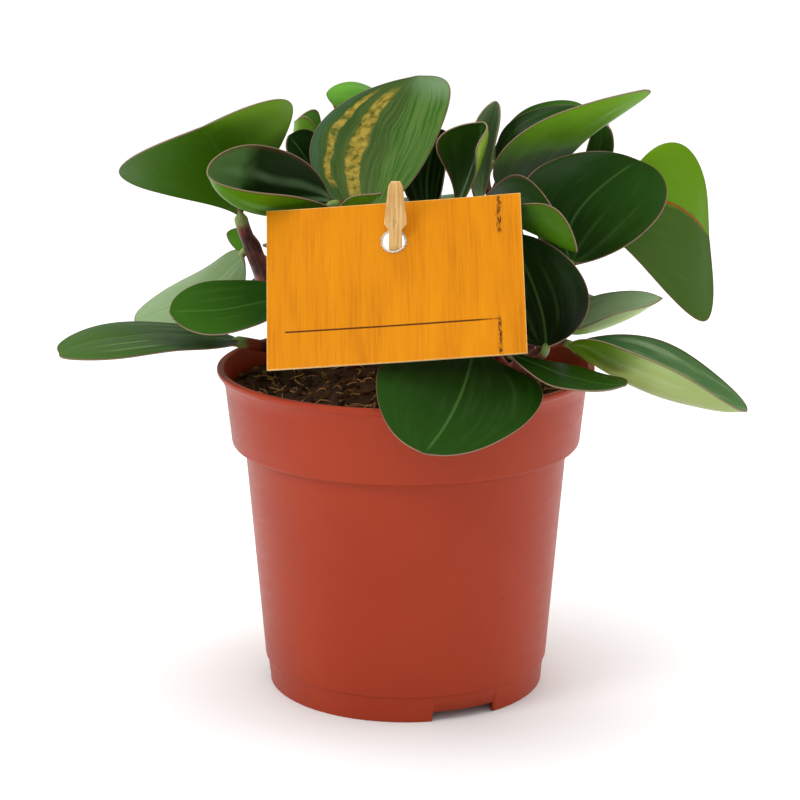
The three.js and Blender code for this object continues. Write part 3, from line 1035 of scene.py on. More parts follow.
class BladeSheet:
    """The middle surface of a blade: u runs from base to tip and v from left margin, -1, to right, 1."""

    wave_height = 0.5
    wave_count = 1.3
    tip_power = 0.5

    def __init__(self, blade: Blade) -> None:
        """Works out the surface's directions from the blade's five points.

        Args:
            blade: the blade.
        """
        self.blade = blade
        points = (blade.base, blade.tip, blade.left, blade.right, blade.mid)
        base, tip, left, right, mid = (Vector(p) for p in points)
        self.base, self.tip, self.mid = base, tip, mid
        self.across = (right - left) / 2
        self.hollow = (left + right) / 2 - mid
        self.along = (tip - base).normalized()
        self.length = (tip - base).length
        self.upward = self.across.cross(self.along).normalized()
        self.half = self.across.length

    def outline(self, u: float) -> float:
        """The half width at u, as a share of the greatest.

        Args:
            u: the place from base to tip.

        Returns:
            The share.
        """
        widest = self.blade.widest
        base_power = self.tip_power * widest / (1 - widest)
        return (u / widest) ** base_power * ((1 - u) / (1 - widest)) ** self.tip_power

    def inset(self, u: float, v: float) -> float:
        """How far inside the outline the point at u and v is, to first order.

        Args:
            u: the place from base to tip.
            v: the place from margin to margin.

        Returns:
            The distance to the outline.
        """
        step = min(1e-3, u / 2, (1 - u) / 2)
        rise = self.outline(u + step) ** 2 - self.outline(u - step) ** 2
        slope = rise * self.half**2 / (4 * step * self.length)
        reach = self.half * self.outline(u)
        aside = reach * abs(v)
        return (reach**2 - aside**2) / (2 * math.hypot(slope, aside) + 1e-6)

    def at(self, u: float, v: float) -> Vector:
        """The point at u and v.

        Args:
            u: the place from base to tip.
            v: the place from margin to margin.

        Returns:
            The point.
        """
        widest, notch = self.blade.widest, self.blade.notch
        s = self.outline(u) * v
        size = abs(s)
        shoulder = notch * 4 * size * (1 - size) * max(0.0, (u - widest) / (1 - widest))
        phase = self.wave_count * u + math.copysign(0.25, v) * (v != 0)
        ripple = self.wave_height * s * s * math.sin(2 * math.pi * phase)
        return (
            self.base * ((u - widest) * (u - 1) / widest)
            + self.mid * (u * (1 - u) / (widest * (1 - widest)))
            + self.tip * (u * (u - widest) / (1 - widest))
            + self.across * s
            + self.hollow * (s * s)
            + self.along * shoulder
            + self.upward * ripple
        )

    def upward_at(self, u: float, v: float) -> Vector:
        """The surface's upward direction at u and v.

        Args:
            u: the place from base to tip.
            v: the place from margin to margin.

        Returns:
            The direction, one long.
        """
        step = 1e-4 if u < 0.01 or u > 0.99 else 1e-3
        step = min(step, u / 2, (1 - u) / 2)
        run = self.at(u + step, v) - self.at(u - step, v)
        span = self.at(u, v + 1e-3) - self.at(u, v - 1e-3)
        return span.cross(run).normalized()


@dataclass
class Leaf:
    """One leaf's finished blade: its two faces, a rounded margin, a cusp at its tip and veins pressed in."""

    blade: Blade
    columns: int = 20
    rows: int = 30
    first_u: float = 0.004
    last_u: float = 0.99995
    mid_thickness: float = 1.5
    edge_thickness: float = 0.5
    thinning: float = 7.0
    base_swelling: float = 1.1
    swelling_reach: float = 0.05
    cusp: float = 0.3
    cusp_reach: float = 1.3
    midrib_depth: float = 0.3
    midrib_reach: float = 1.1
    vein_depth: float = 0.06
    vein_reach: float = 0.9
    dent_depth: float = 0.3
    dent_scale: float = 0.07

    def build(self) -> None:
        """Builds the blade and gives it its finish."""
        sheet = BladeSheet(self.blade)
        mesh = bmesh.new()
        along, across, side, inset, half_width = (
            mesh.verts.layers.float.new(name) for name in ("along", "across", "side", "inset", "half_width")
        )
        bmesh.ops.create_grid(mesh, x_segments=self.columns, y_segments=self.rows, size=1.0)
        for vert in mesh.verts:
            turn = math.pi * (vert.co.y + 1) / 2
            u = self.first_u + (self.last_u - self.first_u) * (1 - math.cos(turn)) / 2
            vert[along] = u
            vert[across] = math.sin(math.pi / 2 * vert.co.x)
            vert[inset] = sheet.inset(u, vert[across])
            vert[half_width] = sheet.half * sheet.outline(u)
        lower = set(mesh.verts)
        bmesh.ops.extrude_face_region(mesh, geom=mesh.faces[:], use_keep_orig=True)
        for vert in mesh.verts:
            u, v = vert[along], vert[across]
            vert[side] = 0.0 if vert in lower else 1.0
            vert.co = self._point(sheet, u, v, vert[inset], 1 if vert[side] else -1)
        bmesh.ops.recalc_face_normals(mesh, faces=mesh.faces)
        piece = new_piece(f"blade_{self.blade.name}", mesh, MATERIALS[self.blade.tone])
        smooth = piece.modifiers.new("smooth", "SUBSURF")
        smooth.levels = smooth.render_levels = 1
        register(piece, self.blade.name)

    def _point(self, sheet: BladeSheet, u: float, v: float, inset: float, face: int) -> Vector:
        """A point of the upper face (1) or the underside (-1).

        Args:
            sheet: the blade's middle surface.
            u: the place from base to tip.
            v: the place from margin to margin.
            inset: how far inside the outline that is.
            face: 1 or -1.

        Returns:
            The point.
        """
        middle, upward = sheet.at(u, v), sheet.upward_at(u, v)
        half = sheet.half * sheet.outline(u)
        reach = abs(v) * half
        body = self.mid_thickness - self.edge_thickness
        thickness = self.edge_thickness + body * smoothstep(inset, 0.0, self.thinning)
        thickness += self.base_swelling * fading(u, self.swelling_reach)
        fade = smoothstep(u, 0.0, 0.1) * (1 - smoothstep(u, 0.75, 1.0))
        rise = -self.midrib_depth * fading(reach, self.midrib_reach) * fade
        for place in VEIN_PLACES:
            rise -= self.vein_depth * fading(reach - place * half, self.vein_reach) * fade
        rise += self.dent_depth * noise.noise(middle * self.dent_scale) * smoothstep(half, 1.0, 6.0)
        point = middle + upward * (face * thickness / 2 + rise)
        return point + sheet.along * self.cusp * fading(reach, self.cusp_reach) * smoothstep(u, 0.93, 1.0)


# ---------------------------------------------------------------- stems


@dataclass(frozen=True)
class StemPlan:
    """A stem's path from its hole in the soil to its growing tip, and the blades it carries."""

    name: str
    path: tuple[Point, ...]
    blades: tuple[Blade, ...]


@dataclass
class LeafyStem:
    """One stem with its stalks, grown together, and the leaves that they end in."""

    plan: StemPlan
    radius: float = 3.1
    stalk_radius: float = 1.45
    fork_radius: float = 2.1
    neck_radius: float = 1.3
    stalk_aim: float = 0.12
    stalk_bend: float = 0.45
    hole_floor: float = 84.0
    sides: int = 16
    voxel: float = 0.5
    green_reach: float = 3.8
    fork_reach: float = 4.5
    tip_length: float = 2.0
    stalk_rings: int = 16
    neck_stations: tuple[float, ...] = (0.05, 0.1, 0.16, 0.24)
    neck_end: float = 0.26
    forks: list[Vector] = field(default_factory=list)
    necks: list[Vector] = field(default_factory=list)

    def build(self) -> None:
        """Builds the stem's own piece and each of its leaves."""
        mesh = bmesh.new()
        path = smooth_path(self.plan.path, 10)
        foot = Vector((path[0].x, path[0].y, self.hole_floor))
        trunk = [foot, *path, path[-1] + (path[-1] - path[-2]).normalized() * self.tip_length]
        girth = [self.radius] * (len(trunk) - 2) + [self.radius * 0.9, self.radius * 0.45]
        grow_tube(mesh, trunk, girth, self.sides)
        for blade in self.plan.blades:
            self._stalk(mesh, point_along(path, blade.leaves_stem), blade)
        bmesh.ops.recalc_face_normals(mesh, faces=mesh.faces)
        piece = new_piece(f"skin_{self.plan.name}", mesh)
        remesh = piece.modifiers.new("grown together", "REMESH")
        remesh.mode = "VOXEL"
        remesh.voxel_size = self.voxel * MM
        remesh.use_smooth_shade = True
        relax = piece.modifiers.new("relaxed", "SMOOTH")
        relax.factor = 0.5
        relax.iterations = 3
        settle(piece)
        piece.data.materials.clear()
        piece.data.materials.append(MATERIALS["stem"])
        self._mark(piece.data)
        register(piece, self.plan.name)
        for blade in self.plan.blades:
            Leaf(blade).build()

    def _stalk(self, mesh: bmesh.types.BMesh, start: Vector, blade: Blade) -> None:
        """Grows the stalk from the stem to a blade and on under its midrib.

        Args:
            mesh: the stem's mesh.
            start: where the stalk leaves the stem.
            blade: the blade it carries.
        """
        sheet = BladeSheet(blade)
        base = sheet.at(0.004, 0)
        ahead = (sheet.at(self.stalk_aim, 0) - base).normalized()
        bend = base - ahead * self.stalk_bend * (base - start).length
        out, back = start.lerp(bend, 2 / 3), base.lerp(bend, 2 / 3)
        centres = geometry.interpolate_bezier(start, out, back, base, self.stalk_rings)
        slim, flare = blade.girth * self.stalk_radius, self.fork_radius - self.stalk_radius
        shares = [i / (self.stalk_rings - 1) for i in range(self.stalk_rings)]
        radii = [slim + flare * (1 - smoothstep(share, 0.0, 0.3)) for share in shares]
        for u in self.neck_stations:
            radius = self.neck_radius * (1 - u / self.neck_end)
            centres.append(sheet.at(u, 0) - sheet.upward_at(u, 0) * (0.55 + 0.4 * radius))
            radii.append(radius)
        grow_tube(mesh, centres, radii, self.sides)
        self.forks.append(start)
        self.necks.append(base)

    def _mark(self, data: bpy.types.Mesh) -> None:
        """Writes how near each vertex is to a blade and to a fork.

        Args:
            data: the stem's finished mesh.
        """
        ripe = data.attributes.new("ripe", "FLOAT", "POINT")
        fork = data.attributes.new("fork", "FLOAT", "POINT")
        for vert in data.vertices:
            place = vert.co / MM
            near_neck = min((place - neck).length for neck in self.necks)
            near_fork = min((place - start).length for start in self.forks)
            ripe.data[vert.index].value = fading(near_neck, self.green_reach)
            fork.data[vert.index].value = fading(near_fork, self.fork_reach)


# ---------------------------------------------------------------- pot and soil


@dataclass
class Pot:
    """The moulded nursery pot: a lip, a band under it, a tapered wall and a foot ring with notches."""

    height: float = 113.0
    rim_radius: float = 65.0
    rim_lip: float = 1.6
    rim_width: float = 2.2
    lip_flare: float = 1.2
    band_top: float = 62.3
    band_top_drop: float = 6.0
    band_foot: float = 60.1
    band_height: float = 26.9
    band_fillet: float = 1.3
    wall_top: float = 55.8
    wall_foot: float = 49.5
    foot_line: float = 9.4
    foot_step: float = 0.8
    base_radius: float = 47.9
    wall: float = 1.2
    ring_width: float = 1.8
    floor_height: float = 4.2
    floor_thickness: float = 1.3
    notch_count: int = 3
    notch_width: float = 23.0
    notch_depth: float = 12.0
    notch_height: float = 3.6
    notch_bearing: float = 24.6
    drain_count: int = 6
    drain_radius: float = 4.5
    drain_circle: float = 31.0
    drain_sides: int = 32
    steps: int = 180
    edge_round: float = 0.4
    notch_round: float = 0.8

    def profile(self) -> list[tuple[float, float, float]]:
        """The section's corners, up the outside and down the inside: radius, height, rounding.

        Returns:
            The corners in order.
        """
        edge = self.height - self.band_height
        fine, soft = self.edge_round, self.band_fillet
        floor_top = self.floor_height + self.floor_thickness
        return [
            (self.base_radius, 0.0, fine),
            (self.wall_foot - self.foot_step, self.foot_line - self.foot_step / 2, 0.2),
            (self.wall_foot, self.foot_line, 0.3),
            (self.wall_top, edge, 0.5),
            (self.band_foot, edge, soft),
            (self.band_top, self.height - self.band_top_drop, 1.5),
            (self.rim_radius - self.lip_flare, self.height - self.rim_lip - self.lip_flare, 0.8),
            (self.rim_radius, self.height - self.rim_lip, 0.5),
            (self.rim_radius, self.height, 0.6),
            (self.rim_radius - self.rim_width, self.height, 0.6),
            (self.band_top - self.wall, self.height - self.band_top_drop, 1.5),
            (self.band_foot - self.wall, edge, soft),
            (self.wall_top - self.wall, edge - self.wall, 0.5),
            (self.wall_foot - self.wall, self.foot_line, 0.3),
            (self.base_radius - self.wall, floor_top, fine),
            (0.0, floor_top, 0.0),
            (0.0, self.floor_height, 0.0),
            (self.base_radius - self.ring_width, self.floor_height, 0.3),
            (self.base_radius - self.ring_width, 0.0, fine),
        ]

    def build(self) -> None:
        """Builds the pot."""
        mesh = bmesh.new()
        corners = [mesh.verts.new((r, 0, z)) for r, z, _ in self.profile()]
        for first, second in zip(corners, [*corners[1:], corners[0]]):
            if first.co.x or second.co.x:
                mesh.edges.new((first, second))
        for corner, (_, _, size) in zip(corners, self.profile()):
            if size:
                round_off(mesh, [corner], size, 4, "VERTICES")
        spin_round(mesh, mesh.verts[:] + mesh.edges[:], self.steps)
        bmesh.ops.remove_doubles(mesh, verts=mesh.verts, dist=0.001)
        bmesh.ops.recalc_face_normals(mesh, faces=mesh.faces)
        piece = new_piece("pot_shell", mesh, MATERIALS["pot"])
        self._cut(piece)
        register(piece, "pot")

    def _cut(self, piece: bpy.types.Object) -> None:
        """Cuts the notches in the foot ring and the drain holes.

        Args:
            piece: the uncut pot.
        """
        mesh = bmesh.new()
        for i in range(self.notch_count):
            bearing = math.radians(self.notch_bearing + 360 / self.notch_count * i)
            size = Matrix.Diagonal((self.notch_width, self.notch_depth, 2 * self.notch_height, 1))
            place = Matrix.Rotation(bearing, 4, "Z") @ Matrix.Translation((0, -self.base_radius, 0))
            cube = bmesh.ops.create_cube(mesh, size=1.0, matrix=place @ size)
            edges = list({edge for vert in cube["verts"] for edge in vert.link_edges})
            round_off(mesh, edges, self.notch_round, 3, "EDGES")
        for i in range(self.drain_count):
            angle = 2 * math.pi * i / self.drain_count
            out = Vector((math.cos(angle), math.sin(angle), 0)) * self.drain_circle
            centre = out + Vector((0, 0, self.floor_height))
            add_post(mesh, centre, self.drain_radius, self.floor_height, self.drain_sides)
        bmesh.ops.recalc_face_normals(mesh, faces=mesh.faces)
        cut_away(piece, mesh, "notches_and_drain_holes")


@dataclass
class Soil:
    """Peat that fills the pot, with loose crumbs and strands on top."""

    top: float = 105.5
    mound: float = 2.6
    top_radius: float = 60.2
    band_foot: float = 58.6
    wall_top: float = 54.3
    wall_foot: float = 48.0
    floor_radius: float = 46.1
    floor: float = 5.8
    foot_line: float = 9.4
    band_edge: float = 86.1
    rings: int = 34
    steps: int = 150
    lump: float = 1.1
    fillet: float = 2.6
    crumbs: int = 900
    crumb_radius: float = 2.1
    strands: int = 260
    seed: int = 7

    def height_at(self, x: float, y: float) -> float:
        """The surface's height at a place.

        Args:
            x: the place along X.
            y: the place along Y.

        Returns:
            The height.
        """
        inward = max(0.0, 1 - math.hypot(x, y) / (self.top_radius - 1))
        clods = noise.noise(Vector((x, y, 0)) * 0.11) * 1.6 + noise.noise(Vector((x, y, 9)) * 0.4) * 0.9
        mound = self.mound * math.sin(inward * math.pi / 2)
        return self.top + mound + clods * self.lump * smoothstep(inward, 0, 0.05)

    def build(self) -> None:
        """Builds the soil with its crumbs and strands as one piece."""
        mesh = bmesh.new()
        shade, strand = mesh.verts.layers.float.new("shade"), mesh.verts.layers.float.new("strand")
        side = [
            (0.0, self.floor),
            (self.floor_radius, self.floor),
            (self.wall_foot, self.foot_line),
            (self.wall_top, self.band_edge),
            (self.band_foot, self.band_edge + self.fillet),
            (self.top_radius, self.top - 1),
        ]
        reach = [(self.top_radius - 1) * (1 - i / self.rings) for i in range(self.rings + 1)]
        corners = [mesh.verts.new((r, 0, z)) for r, z in [*side, *((r, self.top) for r in reach)]]
        for first, second in zip(corners, corners[1:]):
            mesh.edges.new((first, second))
        spin_round(mesh, mesh.verts[:] + mesh.edges[:], self.steps)
        bmesh.ops.remove_doubles(mesh, verts=mesh.verts, dist=0.001)
        for vert in mesh.verts:
            vert[shade] = 0.3
            if vert.co.z >= self.top - 0.01:
                vert.co.z = self.height_at(vert.co.x, vert.co.y)
        draw = random.Random(self.seed)
        for _ in range(self.crumbs):
            self._crumb(mesh, draw, shade)
        for _ in range(self.strands):
            self._strand(mesh, draw, shade, strand)
        bmesh.ops.recalc_face_normals(mesh, faces=mesh.faces)
        register(new_piece("soil_crumbs", mesh, MATERIALS["peat"]), "soil")

    def _spot(self, draw: random.Random, rim: float) -> Vector:
        """A random place on the surface.

        Args:
            draw: the seeded draws.
            rim: how far out the place may be.

        Returns:
            The place.
        """
        reach, bearing = rim * math.sqrt(draw.random()), draw.uniform(0, 2 * math.pi)
        x, y = reach * math.cos(bearing), reach * math.sin(bearing)
        return Vector((x, y, self.height_at(x, y)))

    def _crumb(self, mesh: bmesh.types.BMesh, draw: random.Random, shade: object) -> None:
        """Adds one loose crumb, sunk into the surface.

        Args:
            mesh: the soil's mesh.
            draw: the seeded draws.
            shade: the layer that holds its shade.
        """
        size = draw.uniform(0.5, 1.0) ** 2 * self.crumb_radius
        spot = self._spot(draw, self.top_radius - 2.5)
        squash = Matrix.Diagonal((draw.uniform(0.7, 1.3), draw.uniform(0.7, 1.3), draw.uniform(0.5, 0.9), 1))
        turn = Matrix.Rotation(draw.uniform(0, 6.3), 4, (draw.random(), draw.random(), draw.random() + 0.1))
        made = bmesh.ops.create_icosphere(
            mesh, subdivisions=1, radius=size, matrix=Matrix.Translation(spot) @ turn @ squash
        )
        tone = draw.random() ** 2
        for vert in made["verts"]:
            vert.co += Vector([draw.uniform(-0.2, 0.2) * size for _ in range(3)])
            vert[shade] = tone

    def _strand(self, mesh: bmesh.types.BMesh, draw: random.Random, shade: object, strand: object) -> None:
        """Adds one thin strand of fibre that lies bent on the surface.

        Args:
            mesh: the soil's mesh.
            draw: the seeded draws.
            shade: the layer that holds its shade.
            strand: the layer that marks it as a strand.
        """
        spot = self._spot(draw, self.top_radius - 6.0)
        bearing, length = draw.uniform(0, 2 * math.pi), draw.uniform(3.0, 9.0)
        curl = draw.uniform(-0.9, 0.9)
        centres = []
        for share in (0.0, 0.3, 0.65, 1.0):
            heading = bearing + curl * share
            x = spot.x + length * share * math.cos(heading)
            y = spot.y + length * share * math.sin(heading)
            hop = math.sin(math.pi * share) * draw.uniform(0.2, 1.4) + 0.3
            if math.hypot(x, y) > self.top_radius - 1.5:
                return
            centres.append(Vector((x, y, self.height_at(x, y) + hop)))
        girth = draw.uniform(0.12, 0.3)
        for vert in grow_tube(mesh, centres, [girth * 0.6, girth, girth, girth * 0.4], 3):
            vert[strand] = 1.0
            vert[shade] = draw.random()


# ---------------------------------------------------------------- card and stake


@dataclass
class LabelCard:
    """The printed card, a little bowed, with the torn paper round its punched hole."""

    width: float = 84.0
    height: float = 56.7
    thickness: float = 0.7
    centre: Point = (-3.6, -41.1, 150.0)
    roll: float = 6.1
    lean: float = 35.2
    turn: float = 8.2
    cells: tuple[int, int] = (42, 28)
    hole_radius: float = 4.15
    hole_drop: float = 14.0
    hole_sides: int = 64
    bow: float = 0.5
    fray_radius: float = 3.85
    fray_width: float = 0.7
    fray_steps: int = 72
    fray_count: int = 46
    seed: int = 11

    @property
    def placement(self) -> Matrix:
        """From the card's own axes, with its print facing -Y, to the object's.

        Returns:
            The placement.
        """
        return (
            Matrix.Translation(self.centre)
            @ Matrix.Rotation(math.radians(-self.turn), 4, "Z")
            @ Matrix.Rotation(math.radians(-self.lean), 4, "X")
            @ Matrix.Rotation(math.radians(-self.roll), 4, "Y")
            @ Matrix.Rotation(math.pi / 2, 4, "X")
        )

    @property
    def hole_centre(self) -> Vector:
        """The hole's place on the card's own face."""
        return Vector((0, self.height / 2 - self.hole_drop, 0))

    def bowed(self, x: float, y: float) -> float:
        """How far the card bows out of its plane at a place."""
        return self.bow * ((2 * x / self.width) ** 2 - 0.4) + 0.15 * noise.noise(Vector((x, y, 3)) * 0.05)

    def build(self) -> None:
        """Builds the card and its torn edge."""
        mesh = bmesh.new()
        bmesh.ops.create_grid(mesh, x_segments=self.cells[0], y_segments=self.cells[1], size=0.5)
        bmesh.ops.scale(mesh, vec=(self.width, self.height, 1), verts=mesh.verts)
        bmesh.ops.translate(mesh, vec=(0, 0, -self.thickness / 2), verts=mesh.verts)
        grown = bmesh.ops.extrude_face_region(mesh, geom=mesh.faces[:], use_keep_orig=True)["geom"]
        upper = [g for g in grown if isinstance(g, bmesh.types.BMVert)]
        bmesh.ops.translate(mesh, vec=(0, 0, self.thickness), verts=upper)
        bmesh.ops.recalc_face_normals(mesh, faces=mesh.faces)
        piece = new_piece("card_plate", mesh, MATERIALS["card"])
        self._punch(piece)
        self._place(piece.data)
        register(piece, "label_card")
        self._fray()

    def _punch(self, piece: bpy.types.Object) -> None:
        """Punches the hole.

        Args:
            piece: the unpunched card.
        """
        mesh = bmesh.new()
        add_post(mesh, self.hole_centre, self.hole_radius, 10 * self.thickness, self.hole_sides)
        cut_away(piece, mesh, "hole")

    def _place(self, data: bpy.types.Mesh) -> None:
        """Writes where each vertex is on the card, bows the card and puts it in its place.

        Args:
            data: the punched card's mesh.
        """
        names = ("card_x", "card_y", "front")
        layers = {name: data.attributes.new(name, "FLOAT", "POINT") for name in names}
        placement = self.placement
        for vert in data.vertices:
            x, y, z = vert.co / MM
            for name, value in zip(names, (x, y, float(z > 0))):
                layers[name].data[vert.index].value = value
            vert.co = placement @ Vector((x, y, z + self.bowed(x, y))) * MM
        for face in data.polygons:
            face.use_smooth = False

    def _fray(self) -> None:
        """Builds the ragged ring of raised paper round the hole, on the printed side."""
        mesh = bmesh.new()
        centre = self.hole_centre
        draw = random.Random(self.seed)
        ring = self.fray_radius
        section = bmesh.ops.create_circle(
            mesh,
            segments=8,
            radius=self.fray_width * 0.5,
            matrix=Matrix.Translation((ring, 0, 0)) @ Matrix.Rotation(math.pi / 2, 4, "X"),
        )["verts"]
        edges = list({edge for vert in section for edge in vert.link_edges})
        spin_round(mesh, section + edges, self.fray_steps)
        bmesh.ops.scale(mesh, vec=(1, 1, 0.55), verts=mesh.verts)
        for vert in mesh.verts:
            rag = noise.noise(vert.co * 1.1) * 0.45
            vert.co.z += rag * 0.8
            vert.co.xy *= 1 + rag * 0.06
        for i in range(self.fray_count):
            bearing = 2 * math.pi * (i + draw.random()) / self.fray_count
            out = Vector((math.cos(bearing), math.sin(bearing), 0))
            lean = Vector((-out.y, out.x, 0)) * draw.uniform(-0.8, 0.8)
            start = out * (ring + draw.uniform(-0.2, 0.2))
            reach = draw.uniform(0.3, 0.9)
            middle = start + out * reach * 0.5 + lean * 0.3 + Vector((0, 0, 0.5))
            grow_tube(mesh, [start, middle, start + (out + lean) * reach], [0.14, 0.1, 0.04], 4)
        bmesh.ops.recalc_face_normals(mesh, faces=mesh.faces)
        lift = self.thickness / 2 + self.bowed(centre.x, centre.y)
        bmesh.ops.translate(mesh, vec=centre + Vector((0, 0, lift + 0.15)), verts=mesh.verts)
        bmesh.ops.transform(mesh, matrix=self.placement, verts=mesh.verts)
        register(new_piece("card_torn_edge", mesh, MATERIALS["paper"]))


@dataclass
class Stake:
    """The wooden stick that holds the card, with a shouldered, tapered top."""

    x: float = -3.4
    y: float = -32.9
    thickness: float = 2.9
    foot: float = 84.0
    top_height: float = 181.4
    top_width: float = 4.6
    shoulder_height: float = 167.6
    shoulder_width: float = 7.4
    shoulder_length: float = 3.0
    shoulder_taper: float = 0.93
    tip_length: float = 1.6
    tip_taper: float = 0.62
    neck_height: float = 165.6
    neck_width: float = 4.4
    edge_round: float = 0.35
    slice_height: int = 3
    split_depth: float = 0.12

    def build(self) -> None:
        """Builds the stake."""
        neck, shoulder, top = self.neck_width / 2, self.shoulder_width / 2, self.top_width / 2
        side = [
            (neck, self.foot),
            (neck, self.neck_height),
            (shoulder, self.shoulder_height),
            (shoulder * self.shoulder_taper, self.shoulder_height + self.shoulder_length),
            (top, self.top_height - self.tip_length),
            (top * self.tip_taper, self.top_height),
        ]
        mesh = bmesh.new()
        outline = [*side, *((-across, height) for across, height in reversed(side))]
        face = mesh.faces.new([mesh.verts.new((x, -self.thickness / 2, z)) for x, z in outline])
        grown = bmesh.ops.extrude_face_region(mesh, geom=[face], use_keep_orig=True)["geom"]
        back = [g for g in grown if isinstance(g, bmesh.types.BMVert)]
        bmesh.ops.translate(mesh, vec=(0, self.thickness, 0), verts=back)
        round_off(mesh, mesh.edges[:], self.edge_round, 3, "EDGES")
        for height in range(int(self.foot) + self.slice_height, int(self.top_height), self.slice_height):
            whole = mesh.verts[:] + mesh.edges[:] + mesh.faces[:]
            bmesh.ops.bisect_plane(mesh, geom=whole, plane_co=(0, 0, height), plane_no=(0, 0, 1))
        for vert in mesh.verts:
            vert.co += Vector((1, 1, 0)) * self.split_depth * noise.noise(vert.co * 0.25)
        bmesh.ops.recalc_face_normals(mesh, faces=mesh.faces)
        bmesh.ops.translate(mesh, vec=(self.x, self.y, 0), verts=mesh.verts)
        piece = new_piece("stake_wood", mesh, MATERIALS["wood"])
        for polygon in piece.data.polygons:
            polygon.use_smooth = False
        register(piece, "wooden_stake")


# ---------------------------------------------------------------- studio


@dataclass
class Studio:
    """The floor, the lights and the camera."""

    camera_place: Point = (0.0, -800.0, 301.0)
    camera_pitch: float = 14.1
    camera_yaw: float = 0.0025
    camera_lens: float = 107.24
    camera_sensor: float = 36.0
    camera_clip: float = 50.0  # metres
    plant_middle: Point = (0.0, 0.0, 110.0)
    floor_size: float = 6000.0
    world_strength: float = 0.9

    def build(self) -> None:
        """Builds the whole studio."""
        mesh = bmesh.new()
        bmesh.ops.create_grid(mesh, x_segments=4, y_segments=4, size=self.floor_size / 2)
        floor = new_piece("floor", mesh, StudioPaper().dress())
        self._world()
        self._light("top", (0, 200, 1500), 1200.0, 12.0, False)
        self._light("key", (-900, -700, 900), 500.0, 6.0, True)
        self._light("left", (-1300, 250, 250), 800.0, 2.5, False)
        self._light("right", (1300, 250, 250), 800.0, 6.0, False)
        self._light("back", (0, 3300, 1900), 3600.0, 26.0, True)
        self._camera()

    def _world(self) -> None:
        """Lights the room with an even pale sky."""
        world = bpy.data.worlds.new("studio")
        bpy.context.scene.world = world
        world.use_nodes = True
        background = world.node_tree.nodes["Background"]
        background.inputs["Color"].default_value = (1.0, 1.0, 1.0, 1.0)
        background.inputs["Strength"].default_value = self.world_strength
        world.cycles_visibility.glossy = False  # a leaf mirrors the soft lights, not the even sky

    def _light(self, name: str, place: Point, size: float, power: float, mirrored: bool) -> None:
        """Adds a square soft light that looks at the plant's middle, and may show in its gloss.

        Args:
            name: its name.
            place: where it is.
            size: the length of its side.
            power: its power in watts.
            mirrored: whether it shows in the plant's gloss.
        """
        data = bpy.data.lights.new(name, "AREA")
        data.size = size * MM
        data.energy = power
        light = bpy.data.objects.new(name, data)
        light.location = Vector(place) * MM
        light.visible_glossy = mirrored
        towards = Vector(self.plant_middle) - Vector(place)
        light.rotation_euler = towards.to_track_quat("-Z", "Y").to_euler()
        bpy.context.scene.collection.objects.link(light)

    def _camera(self) -> None:
        """Puts the camera at the photograph's viewing angle."""
        data = bpy.data.cameras.new("camera")
        data.lens = self.camera_lens
        data.sensor_width = self.camera_sensor
        data.clip_end = self.camera_clip
        camera = bpy.data.objects.new("camera", data)
        camera.location = Vector(self.camera_place) * MM
        camera.rotation_euler = (math.radians(90 - self.camera_pitch), 0.0, self.camera_yaw)
        bpy.context.scene.collection.objects.link(camera)
        bpy.context.scene.camera = camera
        bpy.context.scene.view_settings.view_transform = "Standard"


# ---------------------------------------------------------------- the plant's plan


